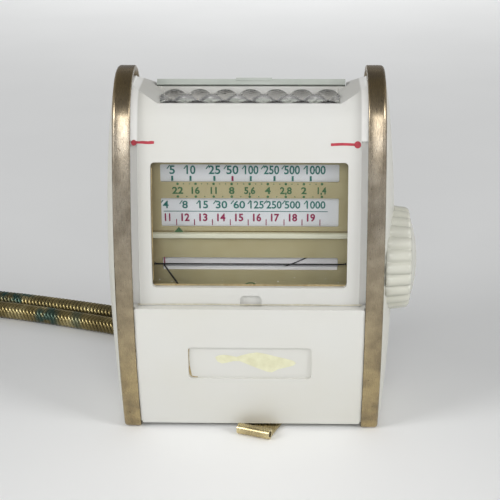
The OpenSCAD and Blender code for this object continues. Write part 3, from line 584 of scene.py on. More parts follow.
def outline(d, fine=1):
    """The outline d mm below the bands' surface, as (y, z) points, anticlockwise seen from +X."""
    down, up = 1.5 * math.pi, 0.5 * math.pi
    tf, tf_a = corner(FRONT_C, FRONT_R, FRONT_TOP_R, BODY_H - FRONT_TOP_R, -1)
    tb, tb_a = corner(BACK_C, BACK_R, BACK_TOP_R, BODY_H - BACK_TOP_R, 1)
    bf, bf_a = corner(FRONT_C, FRONT_R, FRONT_FOOT_R, FRONT_FOOT_R, -1)
    bb, bb_a = corner(BACK_C, BACK_R, BACK_FOOT_R, BACK_FOOT_R, 1)

    def foot(c, r, arc_c, arc_r, side, a0, a1):
        if r - d > 0.05:
            return sweep(c, r - d, a0, a1, 8 * fine)
        edge = on_arc(arc_c, arc_r - d, max(d, 0), side)
        return [edge] * (8 * fine)
    return (sweep(tb, BACK_TOP_R - d, tb_a, up, 24 * fine)
            + sweep(tf, FRONT_TOP_R - d, up, tf_a, 24 * fine)
            + sweep(FRONT_C, FRONT_R - d, tf_a, bf_a, 60 * fine)
            + foot(bf, FRONT_FOOT_R, FRONT_C, FRONT_R, -1, bf_a, down)
            + foot(bb, BACK_FOOT_R, BACK_C, BACK_R, 1, down, bb_a)
            + sweep(BACK_C, BACK_R - d, bb_a - 2 * math.pi if bb_a > math.pi else bb_a,
                    tb_a, 60 * fine))


def skin(rows, close_rows, caps, mirror_x=False):
    """Quads between rows of (x, y, z) points in mm, merged, with faces turned outwards."""
    mesh = bmesh.new()
    sign = -1 if mirror_x else 1
    rings = [[mesh.verts.new((sign * x * MM, y * MM, z * MM)) for x, y, z in row]
             for row in rows]
    bridge(mesh, rings + rings[:1] if close_rows else rings)
    if caps:
        mesh.faces.new(rings[0][::-1])
        mesh.faces.new(rings[-1])
    bmesh.ops.remove_doubles(mesh, verts=mesh.verts, dist=1e-7)
    bmesh.ops.dissolve_degenerate(mesh, edges=mesh.edges, dist=1e-7)
    bmesh.ops.recalc_face_normals(mesh, faces=mesh.faces)
    return baked("skin", mesh)


print("outline points:", len(outline(0)))

# %% [markdown]
# ## The bands
# Each band is a strip 1 mm thick, bent into a closed loop, whose outer edge is rolled over.
# Skinning the strip's cross-section round the outline gives a rounded edge that catches a
# thin line of light, as the real one does.

# %% Bend the two bands
BAND_SECTION = [(BAND_X0, 1.0), (BAND_X0, 0.22), (BAND_X0 + 0.07, 0.07), (BAND_X0 + 0.22, 0.0),
                (BAND_X1 - 0.75, 0.0), (BAND_X1 - 0.55, 0.03), (BAND_X1 - 0.34, 0.12),
                (BAND_X1 - 0.16, 0.27), (BAND_X1 - 0.04, 0.47), (BAND_X1, 0.68), (BAND_X1, 1.0)]


def make_band(node_name, mirror_x):
    rows = [[(x, y, z) for y, z in outline(d, 2)] for x, d in BAND_SECTION]
    return piece(node_name + "_strip", skin(rows, True, False, mirror_x), band_brass, "case",
                 "brass_satin", node_name)


strips = [make_band("left_band", True), make_band("right_band", False)]
print("band faces:", [len(strip.data.polygons) for strip in strips])

# %% [markdown]
# ## The cheeks
# Outside each band the moulding swells into a low dome, like the back of a spoon. Copies of the
# outline that shrink towards its middle while they stand out are skinned into one smooth shape.
# The right dome has a round pocket for the knob, cut with a Boolean modifier that is applied at
# once.

# %% Raise the two cheeks
SEAT_X1 = BAND_X1 - 0.1
CHEEK_OUT = 2.8
CHEEK_RISE = [(1.0, 0.0), (0.985, 0.07), (0.93, 0.2), (0.86, 0.33), (0.76, 0.47), (0.64, 0.62),
              (0.5, 0.755), (0.35, 0.87), (0.2, 0.95), (0.08, 0.99), (0.02, 1.0)]


def make_cheek(name, mirror_x):
    edge = outline(1.12)
    rows = [[(SEAT_X1 + CHEEK_OUT * rise, y * size, BODY_H / 2 + (z - BODY_H / 2) * size)
             for y, z in edge] for size, rise in CHEEK_RISE]
    cheek = finished(name, skin(rows, False, True, mirror_x))
    cheek.data.materials.append(cream_cheek)
    return cheek


def cut_pocket(obj, centre_yz, radius, x0, x1):
    """Cuts a round pocket along X out of obj."""
    mesh = bmesh.new()
    bmesh.ops.create_cone(mesh, cap_ends=True, segments=96, radius1=radius * MM,
                          radius2=radius * MM, depth=(x1 - x0) * MM)
    for v in mesh.verts:
        x, y, z = v.co
        v.co = (z + (x0 + x1) / 2 * MM, x + centre_yz[0] * MM, y + centre_yz[1] * MM)
    bmesh.ops.recalc_face_normals(mesh, faces=mesh.faces)
    cutter = finished("cutter", baked("cutter", mesh), False)
    cut = obj.modifiers.new("pocket", "BOOLEAN")
    cut.object, cut.operation, cut.solver = cutter, "DIFFERENCE", "EXACT"
    made = applied(obj)
    obj.modifiers.remove(cut)
    bpy.data.objects.remove(cutter)
    obj.data = made


KNOB_YZ = (-3.7, 35.9)
KNOB_R, POCKET_PLAY = 10.6, 0.5
left_dome = make_cheek("left_cheek_dome", True)
right_dome = make_cheek("right_cheek_dome", False)
cut_pocket(right_dome, KNOB_YZ, KNOB_R + POCKET_PLAY, 20, 40)
for dome, node_name in ((left_dome, "left_cheek"), (right_dome, "right_cheek")):
    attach(dome, "case")
    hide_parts(node_name)
print("cheek faces:", len(left_dome.data.polygons), len(right_dome.data.polygons))

# %% [markdown]
# ## The knob
# The knob's edge is a row of round ribs, cut off square, and its end bulges like a lens. Its
# radius follows a rule of the angle and of how far out the section lies, so it is computed ring
# by ring and skinned, instead of being modelled rib by rib.

# %% Turn the knob
KNOB_X0, KNOB_LEN, KNOB_CROWN, KNOB_TAPER, KNOB_RIBS = BAND_X1 + 0.3, 5.0, 1.7, 0.94, 24
CROWN_R = 8.9
KNOB_BORE_R, WELL_R, WELL_FLOOR = 1.53, 2.7, 5.3


def rib_ring(x, size, depth):
    """A ring of the ribbed edge: size is the radius over the ribs, depth that of the grooves."""
    points = []
    for k in range(KNOB_RIBS * 10):
        a = 2 * math.pi * k / (KNOB_RIBS * 10)
        across = abs((k % 10) / 10 - 0.5) * 2
        r = size - depth * (1 - math.sqrt(max(0.0, 1 - (across * 0.97) ** 2)))
        points.append((KNOB_X0 + x, KNOB_YZ[0] + r * math.cos(a), KNOB_YZ[1] + r * math.sin(a)))
    return points


def crown_height(r):
    bulge = (CROWN_R ** 2 + KNOB_CROWN ** 2) / (2 * KNOB_CROWN)
    return KNOB_LEN + KNOB_CROWN - bulge + math.sqrt(bulge ** 2 - r ** 2)


def make_knob():
    def size(x):
        return KNOB_R * (1 + (KNOB_TAPER - 1) * x / KNOB_LEN)
    rows = [rib_ring(0, KNOB_BORE_R, 0), rib_ring(0, size(0) - 0.2, 0.9)]
    rows += [rib_ring(x, size(x), 1.15) for x in (0.2, 1.2, 2.4, 3.6, 4.4)]
    rows += [rib_ring(4.8, size(4.8) - 0.1, 1.1), rib_ring(5.0, size(5) - 0.35, 0.8)]
    rows += [rib_ring(crown_height(r), r, 0) for r in (8.9, 8.2, 7.2, 6.0, 4.6, 3.4, 2.9)]
    rows += [rib_ring(crown_height(WELL_R) - 0.12, WELL_R + 0.02, 0),
             rib_ring(WELL_FLOOR, WELL_R, 0), rib_ring(WELL_FLOOR, KNOB_BORE_R, 0)]
    return piece("fluted_knob", skin(rows, True, False), cream_knob, "knob", "cream_plastic",
                 "knob")


fluted_knob = make_knob()
print("knob faces:", len(fluted_knob.data.polygons))

# %% [markdown]
# ## The honeycomb lens
# Rows of six-sided lenslets, each with a domed top, spread the light over the cell. Geometry
# Nodes place one lenslet on each point of a staggered grid. What stands past the plate's edges is
# cut off by four planes, which leaves part lenslets at the ends and along the front.

# %% Model one lenslet
LENS_W, LENS_Y0, LENS_Y1, LENS_PITCH = 34.8, -4.9, 6.4, 5.04
LENS_BASE, LENS_TOP = 66.2, 68.3
DOME_R, LENSLET_POINTS = 3.4, 36


def lenslet_mesh():
    """A six-sided post with a domed top, standing on Z = 0."""
    mesh = bmesh.new()
    reach = LENS_PITCH / math.sqrt(3)
    tall = LENS_TOP - LENS_BASE
    rings = []
    for share in (1.0, 0.97, 0.86, 0.7, 0.5, 0.28):
        ring = []
        for k in range(LENSLET_POINTS):
            a = 2 * math.pi * k / LENSLET_POINTS
            wall = math.cos(math.radians(30)) / math.cos((a + math.radians(30)) % math.radians(60)
                                                         - math.radians(30))
            r = reach * share * wall
            z = tall - (DOME_R - math.sqrt(max(0.0, DOME_R ** 2 - r * r)))
            ring.append(mesh.verts.new((r * math.cos(a) * MM, r * math.sin(a) * MM, z * MM)))
        rings.append(ring)
    low = [mesh.verts.new((v.co.x, v.co.y, 0)) for v in rings[0]]
    bridge(mesh, [low, *rings])
    tip = mesh.verts.new((0, 0, tall * MM))
    for k in range(LENSLET_POINTS):
        mesh.faces.new((rings[-1][k], rings[-1][(k + 1) % LENSLET_POINTS], tip))
    mesh.faces.new(low[::-1])
    bmesh.ops.recalc_face_normals(mesh, faces=mesh.faces)
    return baked("lenslet", mesh)


# %% Make the clear moulding
def clear_moulding():
    made = Finish("clear_moulding")
    made.bump(made.noise(0.9, 2), 0.01, 0.3)
    made.set(Base_Color=ink(250, 249, 247), Transmission_Weight=1.0, IOR=1.49,
             Roughness=made.spread(made.noise(1.8, 3), 0.03, 0.1))
    return made.mat


lens_clear = clear_moulding()

# %% Set the lenslets out on a staggered grid
LENS_ROWS = (0.5, 1.366, 2.232)


def one_on_each(add, source):
    points = add("GeometryNodeMeshToPoints", source["Geometry"])
    shape = add("GeometryNodeObjectInfo", source["Part"])
    return add("GeometryNodeInstanceOnPoints", points.outputs["Points"],
               Instance=shape.outputs["Geometry"]).outputs["Instances"]


def make_lens():
    """The lenslets as mesh data, and their number."""
    reach = math.ceil(LENS_W / LENS_PITCH / 2)
    across = [[i + (n % 2) / 2 for i in range(-reach, reach + 1)] for n in range(len(LENS_ROWS))]
    spots = [(i * LENS_PITCH * MM, (LENS_Y1 - share * LENS_PITCH) * MM, LENS_BASE * MM)
             for share, row in zip(LENS_ROWS, across) for i in row
             if abs(i) * LENS_PITCH < LENS_W / 2 + LENS_PITCH / 2]
    seeds = bpy.data.meshes.new("lens_seeds")
    seeds.from_pydata(spots, [], [])
    return grow("lens_grid", seeds, lenslet_mesh(), lens_clear, one_on_each), len(spots)


def trim_to_plate(data):
    """Cuts away what stands past the plate's four edges, and closes the cuts."""
    mesh = bmesh.new()
    mesh.from_mesh(data)
    planes = [((LENS_W / 2, 0, 0), (1, 0, 0)), ((-LENS_W / 2, 0, 0), (-1, 0, 0)),
              ((0, LENS_Y0, 0), (0, -1, 0)), ((0, LENS_Y1, 0), (0, 1, 0))]
    for at, out in planes:
        parts = bmesh.ops.bisect_plane(mesh, geom=mesh.verts[:] + mesh.edges[:] + mesh.faces[:],
                                       plane_co=[c * MM for c in at], plane_no=out,
                                       clear_outer=True)
        edges = [e for e in parts["geom_cut"] if isinstance(e, bmesh.types.BMEdge)]
        bmesh.ops.holes_fill(mesh, edges=edges, sides=0)
    bmesh.ops.recalc_face_normals(mesh, faces=mesh.faces)
    mesh.to_mesh(data)
    mesh.free()
    return data


lens_data, lens_count = make_lens()
honeycomb = piece("honeycomb_lenslets", trim_to_plate(lens_data), None, "case", "clear_lens",
                  "honeycomb_lens", smooth_faces=False)
print("lenslets:", lens_count, "faces:", len(honeycomb.data.polygons))

# %% [markdown]
# ## Finishes of the smaller parts
# Each remaining solid gets a finish of its own kind: flat paint, turned steel, dark iron,
# varnished wire. They share two recipes, one for paint and plastic and one for metal, with
# their own grain sizes.

# %% Make the plain finishes
def coating(name, tone, darker, size, rough, relief=0.01, **sockets):
    made = Finish(name)
    made.bump(made.noise(size / 5, 2), relief, 0.4)
    made.set(Base_Color=made.ramp(made.noise(size, 4), [(0.35, ink(*tone)), (0.7, ink(*darker))]),
             Roughness=made.spread(made.noise(size / 3, 3), *rough), **sockets)
    return made.mat


def turned_metal(name, tone, rough=(0.22, 0.34)):
    return coating(name, tone, tuple(c * 0.88 for c in tone), 1.6, rough, 0.006, Metallic=1.0)


steel = turned_metal("turned_steel", (186, 188, 192))
iron = turned_metal("dark_iron", (104, 104, 108), (0.4, 0.55))
bar_paint = coating("bar_cream", (238, 238, 216), (232, 231, 206), 5, (0.4, 0.5))
scale_white = coating("scale_white", (236, 239, 243), (230, 234, 237), 5, (0.45, 0.55))
drum_white = coating("drum_white", (252, 252, 255), (248, 249, 252), 5, (0.45, 0.55))
needle_black = coating("needle_black", (26, 26, 27), (36, 35, 34), 2, (0.4, 0.5))
black_moulding = coating("black_moulding", (34, 34, 36), (44, 43, 42), 3, (0.45, 0.6))
cell_sheen = coating("cell_sheen", (198, 198, 200), (182, 183, 188), 4, (0.25, 0.35), Metallic=0.5)
copper = coating("varnished_copper", (190, 110, 70), (150, 80, 50), 0.8, (0.25, 0.4), Metallic=0.8)
wire_cover = coating("wire_cover", (150, 44, 40), (132, 36, 34), 1, (0.45, 0.6))
filter_tint = coating("filter_tint", (184, 189, 182), (174, 180, 172), 4, (0.15, 0.25))

# %% Make the mask's paint
SHADED_LEFT_END = (-0.0195, -0.0168)


def mask_finish():
    """Khaki paint with painted shade, darker and browner, at its left end."""
    made = Finish("mask_khaki")
    plain = made.ramp(made.noise(6, 4), [(0.35, ink(190, 181, 142)), (0.7, ink(182, 172, 131))])
    # Painted shade: the window's edge shades the left end, so it is painted darker and browner.
    brown = made.spread(made.along("X"), 0.8, 0.0, SHADED_LEFT_END)
    made.set(Base_Color=made.mix(brown, plain, ink(146, 128, 90)),
             Roughness=made.spread(made.noise(2, 3), 0.5, 0.62))
    return made.mat


mask_paint = mask_finish()

# %% Make the window pane
def pane_finish():
    made = Finish("pane_clear")
    made.set(Base_Color=ink(20, 20, 20), IOR=1.5, Alpha=0.1,
             Roughness=made.spread(made.noise(6, 3), 0.04, 0.12))
    return made.mat


pane_clear = pane_finish()

# %% Dress the solids that keep their shape
DRESS = [
    (cream, "case_body case_back"), (cream_cover, "front_cover"), (pane_clear, "window_pane"),
    (mask_paint, "mask_plate"), (scale_white, "upper_strip lower_strip"),
    (drum_white, "pointer_drum"), (filter_tint, "filter_shutter"), (needle_black, "needle"),
    (cell_sheen, "light_cell"), (black_moulding, "cell_frame scale_carriage"),
    (wire_cover, "lead_wires"), (copper, "moving_coil"), (iron, "flux_ring core_magnet"),
    (steel, "back_screws cheek_screws mask_screws knob_shaft knob_washer guide_rod "
            "movement_screws hairspring_front hairspring_rear zero_screw"),
    (plain_brass, "knob_screw knob_bush movement_bridge front_bridge bridge_pillars core_holder "
                  "chain_clamp"),
    (strap_brass, "chain_strap strap_screw strap_rivets")]
for finish, names in DRESS:
    for node_name in names.split():
        wear(node_name, finish)
print("dressed:", sum(len(names.split()) for finish, names in DRESS))

# %% [markdown]
# ## Printed scales
# Figures, ticks and rules are ink, too thin to model as solids in CAD. Text objects are turned
# into flat meshes a few hundredths of a millimetre in front of the plate they are printed on.
# What is printed on the sliding strips rides with them, and the rest stays with the case. The
# small green arc on the mask is the top of something that the window's lower edge cuts off.

# %% Make the printing inks
def printing_ink(name, tone):
    return coating(name, tone, tuple(min(255, c * 1.08 + 4) for c in tone), 1.2, (0.4, 0.55), 0.004)


teal = printing_ink("teal_ink", (44, 116, 108))
magenta = printing_ink("magenta_ink", (150, 40, 82))
green = printing_ink("green_ink", (62, 106, 68))
red_paint = printing_ink("red_paint", (164, 34, 52))
black_ink = printing_ink("black_ink", (28, 28, 30))
# Ink for the thin dark brown line along the top of the bar.
mask_dirt = printing_ink("mask_dirt", (112, 98, 66))

# %% Print figures, ticks and rules
FIGURE_H = 1.7
STRIP_FACE, MASK_FACE = -6.0 - 0.18 - 0.03, -6.8 - 0.03


def disc(x, z, r, sides):
    """The outline of a round spot, as (x, z) points."""
    return [(x + r * math.cos(2 * math.pi * k / sides), z + r * math.sin(2 * math.pi * k / sides))
            for k in range(sides)]


class Sheet:
    """Flat print on one plate: points are (x, z) in mm at a fixed depth, facing the window."""

    def __init__(self, name, y, coat, body):
        self.name, self.y, self.coat, self.body = name, y, coat, body
        self.verts, self.faces = [], []

    def shape(self, points):
        start = len(self.verts)
        self.verts += [(x * MM, self.y * MM, z * MM) for x, z in points]
        self.faces.append(tuple(range(start, start + len(points))))

    def line(self, p, q, width):
        dx, dz = q[0] - p[0], q[1] - p[1]
        size = math.hypot(dx, dz)
        ox, oz = -dz / size * width / 2, dx / size * width / 2
        self.shape([(p[0] - ox, p[1] - oz), (q[0] - ox, q[1] - oz),
                    (q[0] + ox, q[1] + oz), (p[0] + ox, p[1] + oz)])

    def dot(self, x, z, r):
        self.shape(disc(x, z, r, 12))

    def figures(self, words, x, z, width, height, bold=0.03):
        """Text of a given width whose middle is at x and whose foot is at z."""
        font = bpy.data.curves.new("figures", "FONT")
        font.body = words
        font.size = height / 0.7
        font.resolution_u = 3
        font.offset = bold * height
        holder = finished("figures", font, False)
        flat = applied(holder)
        bpy.data.objects.remove(holder)
        xs = [v.co.x for v in flat.vertices]
        mid, squeeze = (min(xs) + max(xs)) / 2, width / (max(xs) - min(xs))
        start = len(self.verts)
        self.verts += [((x + (v.co.x - mid) * squeeze) * MM, self.y * MM, (z + v.co.y) * MM)
                       for v in flat.vertices]
        self.faces += [tuple(start + i for i in f.vertices) for f in flat.polygons]

    def speed(self, words, x, z, width, height=FIGURE_H):
        """A shutter speed: its figure with the short slash that stands for one over it."""
        self.figures(words, x, z, width, height)
        left, middle = x - width / 2, z + 0.58 * height
        self.line((left - 0.5, middle), (left + 0.07, middle + 0.75), 0.2)

    def done(self):
        data = bpy.data.meshes.new(self.name)
        data.from_pydata(self.verts, [], self.faces)
        data.update()
        slot = "scale_white" if self.body == "scale" else "mask_khaki"
        return piece(self.name, data, self.coat, self.body, slot, smooth_faces=False)


# Figure, its middle, its width and its tick
SPEEDS_TOP = [("5", -15.08, 1.08, -15.11), ("10", -11.42, 1.75, -11.54),
              ("25", -6.84, 2.3, -6.87), ("50", -3.34, 2.35, -3.35), ("100", 0.38, 2.65, 0.21),
              ("250", 4.24, 3.0, 4.83), ("500", 8.24, 3.05, 8.36), ("1000", 12.87, 3.75, 11.87)]
SPEEDS_LOW = [("4", -16.54, 1.15), ("8", -12.74, 1.1), ("15", -9.08, 1.75), ("30", -5.55, 2.25),
              ("60", -2.07, 2.3), ("125", 1.4, 2.65), ("250", 4.74, 3.0), ("500", 8.36, 3.05),
              ("1000", 12.96, 3.7)]
STOPS = [("22", -14.05, 2.15), ("16", -10.55, 1.6), ("11", -7.02, 1.2), ("8", -3.5, 1.1),
         ("5,6", 0.01, 2.15), ("4", 3.52, 1.15), ("2,8", 7.05, 2.3), ("2", 10.56, 1.05),
         ("1,4", 14.07, 1.7)]
INDEX_X0, INDEX_STEP = -16.24, 3.531
STOP_STEP = 3.515
TOP_FOOT, LOW_FOOT, STOP_FOOT, INDEX_FOOT = 54.0, 46.95, 50.15, 44.3
ARC_AT, ARC_REACH = (0.05, 30.78), (1.12, 0.62)
POINTER = [(-14.95, 42.15), (-13.05, 42.15), (-14.0, 43.26)]
ZERO_X, BAR_TOP = -17.03, 42.34


def print_scales():
    upper = Sheet("upper_scale_print", STRIP_FACE, teal, "scale")
    red_top = Sheet("scale_print_magenta", STRIP_FACE, magenta, "scale")
    for words, x, width, tick in SPEEDS_TOP:
        upper.speed(words, x, TOP_FOOT, width)
        (red_top if words == "50" else upper).line((tick, 52.57), (tick, 53.59), 0.4)
    for words, x, width in SPEEDS_LOW:
        upper.speed(words, x, LOW_FOOT, width, 1.5)
    upper.line((-17.0, 46.3), (15.3, 46.3), 0.14)
    for n in range(9):
        x = INDEX_X0 + n * INDEX_STEP
        red_top.figures(str(n + 11), x, INDEX_FOOT, 1.1 if n == 0 else 1.62, 1.5, 0.045)
        red_top.line((x + INDEX_STEP / 2, 43.4), (x + INDEX_STEP / 2, 44.65), 0.17)
    stops = Sheet("mask_print", MASK_FACE, green, "case")
    for words, x, width in STOPS:
        stops.figures(words, x, STOP_FOOT, width, 1.35, 0.045)
    for share, z in ((3, 52.15), (2, 49.55)):
        for n in range(8 * share + 1):
            stops.dot(STOPS[0][1] + n * STOP_STEP / share, z, 0.12 if n % share else 0.26)
    stops.shape(POINTER)
    arc = [(ARC_AT[0] + ARC_REACH[0] * math.cos(a), ARC_AT[1] + ARC_REACH[1] * math.sin(a))
           for a in (math.pi * k / 12 for k in range(-2, 15))]
    for p, q in zip(arc, arc[1:]):
        stops.line(p, q, 0.22)
    zero = Sheet("zero_mark", MASK_FACE, magenta, "case")
    zero.line((ZERO_X, 35.56), (ZERO_X, 36.84), 0.22)
    # A thin dark brown line runs along the top of the bar, on the mask.
    bar_line_sheet = Sheet("mask_dirt", MASK_FACE - 0.005, mask_dirt, "case")
    bar_line_sheet.line((-19.2, BAR_TOP), (-15.0, BAR_TOP), 0.2)
    bar_line_sheet.line((-13.0, BAR_TOP), (19.2, BAR_TOP - 0.04), 0.2)
    return [sheet.done() for sheet in (upper, red_top, stops, zero, bar_line_sheet)]


prints = print_scales()
print("printed faces:", [len(p.data.polygons) for p in prints])

# %% [markdown]
# ## Paint on a curved face
# The red marks that show how far the cover slides up are painted on the bowed front. A helper
# lays a small patch on that arc, slightly proud of it, so that it follows the curve.

# %% Lay painted marks on the bowed front
def on_front(x, z, depth):
    y = FRONT_C[0] - math.sqrt((FRONT_R - depth) ** 2 - (z - FRONT_Z) ** 2)
    return (x * MM, y * MM, z * MM)


def patch(name, outlines, depth, coat, body, slot):
    """Flat shapes given as (x, z) outlines, wrapped on the front at a depth below the bands."""
    mesh = bmesh.new()
    for points in outlines:
        mesh.faces.new([mesh.verts.new(on_front(x, z, depth)) for x, z in points])
    bmesh.ops.triangulate(mesh, faces=mesh.faces)
    bmesh.ops.subdivide_edges(mesh, edges=mesh.edges, cuts=3, use_grid_fill=True)
    for v in mesh.verts:
        v.co = on_front(v.co.x / MM, v.co.z / MM, depth)
    bmesh.ops.recalc_face_normals(mesh, faces=mesh.faces)
    for face in mesh.faces:
        if face.normal.y > 0:
            face.normal_flip()
    return piece(name, baked(name, mesh), coat, body, slot)


def bar_mark(x0, x1, z, width):
    steps = 6
    xs = [x0 + (x1 - x0) * i / steps for i in range(steps + 1)]
    low = [(x, z - width / 2 * (1 + 0.2 * math.sin(9 * x))) for x in xs]
    return low + [(x, z + width / 2 * (1 + 0.2 * math.cos(7 * x))) for x in reversed(xs)]


FACE_IN, COVER_FACE, RECESS_IN = 2.1, 0.3, 0.5
PANE_FACE = FACE_IN + 1.0
patch("cover_stop_marks", [
    disc(-22.1, 60.9, 0.53, 20), bar_mark(-21.7, -18.2, 60.95, 0.5),
    bar_mark(15.6, 20.3, 60.65, 0.5), disc(20.7, 60.6, 0.66, 20)],
    FACE_IN - 0.02, red_paint, "case", "cream_plastic")

# %% [markdown]
# ## The cover's side lips
# The solids leave a gap of 0.3 mm beside the sliding cover, and the photograph shows almost none.
# Thin lips along its sides close most of the gap to the bands, and slide with it.

# %% Close the gap beside the cover
LIP_X0, LIP_X1, LIP_Z0, LIP_Z1 = 22.3, 22.57, 1.6, 28.8
lips = patch("cover_lips", [
    [(side * x, z) for x, z in ((LIP_X0, LIP_Z0), (LIP_X1, LIP_Z0), (LIP_X1, LIP_Z1),
                                (LIP_X0, LIP_Z1))]
    for side in (-1, 1)], COVER_FACE + 0.04, cream_cover, "front_cover", "cream_plastic")
print("lip faces:", len(lips.data.polygons))

# %% [markdown]
# ## Traces of a lost label
# A small plate was once stuck in the recess of the cover. It is gone, and left dried glue, as a
# small blob at the left that runs into a longer smear. The glue is a thin, uneven, yellowish film.

# %% Leave glue in the label recess
glue = coating("dried_glue", (224, 223, 192), (212, 210, 176), 1.5, (0.35, 0.6), 0.05)
patch("glue_residue", [
    [(-6.9, 17.9), (-6.5, 16.9), (-5.6, 16.4), (-4.6, 16.6), (-3.3, 17.0), (-2.0, 17.0),
     (-1.0, 16.5), (0.7, 15.7), (2.0, 15.1), (3.4, 14.5), (4.4, 14.3), (5.7, 15.1), (7.4, 15.6),
     (8.7, 16.0), (9.2, 16.5), (8.8, 17.1), (7.4, 17.6), (5.4, 18.1), (3.4, 18.7), (1.4, 19.1),
     (-0.3, 18.8), (-1.6, 18.4), (-2.6, 18.0), (-3.9, 18.3), (-5.3, 18.5), (-6.3, 18.3)]],
    COVER_FACE + RECESS_IN - 0.03, glue, "front_cover", "cream_plastic")

# %% [markdown]
# ## Dirt in the corners
# Years of handling have left brown dirt where a cloth does not reach: in the left corner of the
# label recess, along the seam above the cover, and round the window pane, where a few white
# specks of dust lie too. Each is a thin film on the curved front.

# %% Lay the dirt and the dust
dirt = coating("brown_dirt", (150, 128, 86), (186, 170, 132), 0.7, (0.6, 0.8), 0.02)
faint_dirt = coating("faint_dirt", (196, 190, 166), (210, 206, 190), 1.0, (0.6, 0.8), 0.02)
dust = coating("white_dust", (232, 232, 228), (222, 222, 218), 0.5, (0.7, 0.9), 0.02)


def seam(points, width):
    """A ragged band along a line of (x, z) points, as one outline."""
    left, right = [], []
    for i, (x, z) in enumerate(points):
        p, q = points[max(i - 1, 0)], points[min(i + 1, len(points) - 1)]
        dx, dz = q[0] - p[0], q[1] - p[1]
        size = math.hypot(dx, dz)
        half = width / 2 * (1 + 0.35 * math.sin(5.3 * i + x))
        left.append((x - dz / size * half, z + dx / size * half))
        right.append((x + dz / size * half, z - dx / size * half))
    return left + right[::-1]


patch("recess_dirt", [
    seam([(-12.1, 20.0), (-12.15, 18.8), (-12.15, 17.4), (-12.15, 16.0), (-12.15, 14.6),
          (-12.05, 13.7), (-11.75, 13.25), (-11.2, 13.1), (-10.5, 13.08)], 0.2)],
    COVER_FACE + RECESS_IN - 0.02, dirt, "front_cover", "cream_plastic")
patch("seam_dirt", [
    seam([(-22.0 + 2.2 * k, 29.2 + 0.04 * (k % 3)) for k in range(21)], 0.22)],
    FACE_IN - 0.015, faint_dirt, "case", "cream_plastic")
patch("pane_dirt", [
    seam([(-18.7 + 1.7 * k, 33.02) for k in range(23)], 0.3),
    seam([(-18.82, 34 + 2 * k) for k in range(12)], 0.16)],
    PANE_FACE - 0.015, dirt, "case", "mask_khaki")
DUST = [(-17.6, 34.1, 0.09), (-15.2, 33.7, 0.07), (-12.8, 34.3, 0.05), (5.6, 33.8, 0.1),
        (8.8, 34.6, 0.06), (1.2, 33.6, 0.05), (14.9, 34.4, 0.06), (17.4, 33.6, 0.08),
        (-5.3, 33.9, 0.05), (11.7, 33.6, 0.05)]
patch("pane_dust", [disc(x, z, r, 8) for x, z, r in DUST],
      PANE_FACE - 0.03, dust, "case", "cream_plastic")

# %% [markdown]
# ## The line on the drum
# A black line winds round the white drum. Turning the knob turns the drum, so the line seems to
# slide along the slot. It is a narrow ribbon on a helix, a little outside the drum's surface.

# %% Wind the line round the drum
DRUM_R, LINE_LEAD, LINE_MID_X = 2.35, 31.4, 9.85
LINE_REACH, LINE_STEPS, LINE_HALF = 17.0, 240, 0.3


def make_drum_line():
    mesh = bmesh.new()
    r, pairs = DRUM_R + 0.03, []
    for k in range(LINE_STEPS + 1):
        x = LINE_REACH * (2 * k / LINE_STEPS - 1)
        angle = 2 * math.pi * (x - LINE_MID_X) / LINE_LEAD
        y, z = KNOB_YZ[0] - r * math.cos(angle), KNOB_YZ[1] + r * math.sin(angle)
        pairs.append([mesh.verts.new(((x + side * LINE_HALF) * MM, y * MM, z * MM))
                      for side in (-1, 1)])
    for a, b in zip(pairs, pairs[1:]):
        mesh.faces.new((a[0], b[0], b[1], a[1]))
    return piece("drum_line", baked("drum_line", mesh), black_ink, "knob", "drum_white")


make_drum_line()

# %% [markdown]
# ## Round the slot
# A white ledge behind the mask closes the lower part of the slot, and its upper edge shows as a
# fine line under the drum. The hairline across the slot is a black wire with its ends turned
# back, and the bar above it is a slim moulding with rounded front edges.

# %% Lay the ledge, the hairline and the bar
def wire_rings(path, z, radius, sides):
    """Rings along a path of (x, y) points with square turns, for skin to join."""
    rings = []
    for i, (x, y) in enumerate(path):
        before, here, after = (Vector(path[k]) for k in (max(i - 1, 0), i,
                                                         min(i + 1, len(path) - 1)))
        way = (here - before).normalized() + (after - here).normalized()
        across = Vector((-way.y, way.x)) / way.length
        reach = radius * (math.sqrt(2) if 0 < i < len(path) - 1 else 1)
        rings.append([(x + across.x * reach * math.cos(a), y + across.y * reach * math.cos(a),
                       z + radius * math.sin(a))
                      for a in (2 * math.pi * k / sides for k in range(sides))])
    return rings


HAIRLINE_Y, HAIRLINE_Z, HAIRLINE_R = -7.4, 35.65, 0.15
WIRE_END, MASK_Y = 18.9, -6.82
piece("hairline_wire", skin(wire_rings(
    [(-WIRE_END, MASK_Y), (-WIRE_END, HAIRLINE_Y), (WIRE_END, HAIRLINE_Y), (WIRE_END, MASK_Y)],
    HAIRLINE_Z, HAIRLINE_R, 12), False, True), needle_black, "case", "paint_black", "hairline")


def slat(name, x_end, y_range, z_range, edge, coat, slot, *stands_for):
    """A slat along X, square at the back, with rounded front edges."""
    (front, back), (low, high) = y_range, z_range
    nose = 0.3 * edge
    side = [(back, high), (front + edge, high), (front + nose, high - nose),
            (front, high - edge), (front, low + edge), (front + nose, low + nose),
            (front + edge, low), (back, low)]
    rows = [[(x, y, z) for y, z in side] for x in (-x_end, x_end)]
    return piece(name, skin(rows, False, True), coat, "case", slot, *stands_for,
                 smooth_faces=False)


slat("slim_divider", 19.3, (-7.7, MASK_Y), (41.1, 42.1), 0.2, bar_paint, "bar_cream",
     "divider_bar")
ledge = slat("slot_ledge", 17.3, (-6.37, -6.19), (33.5, 34.74), 0.05, drum_white, "scale_white")
print("ledge faces:", len(ledge.data.polygons))

# %% [markdown]
# ## Table and light
# The meter stands on a pale table. A lamp low in front lights the upper part of the bands, and
# one at each side gives the soft shadows that fan out behind. A narrow one lights the table far
# back. The sky is brightest at both sides, which lights the outer edges of the bands, and dark
# overhead, which darkens their tops. The strengths were set by comparing renders with the
# photograph.

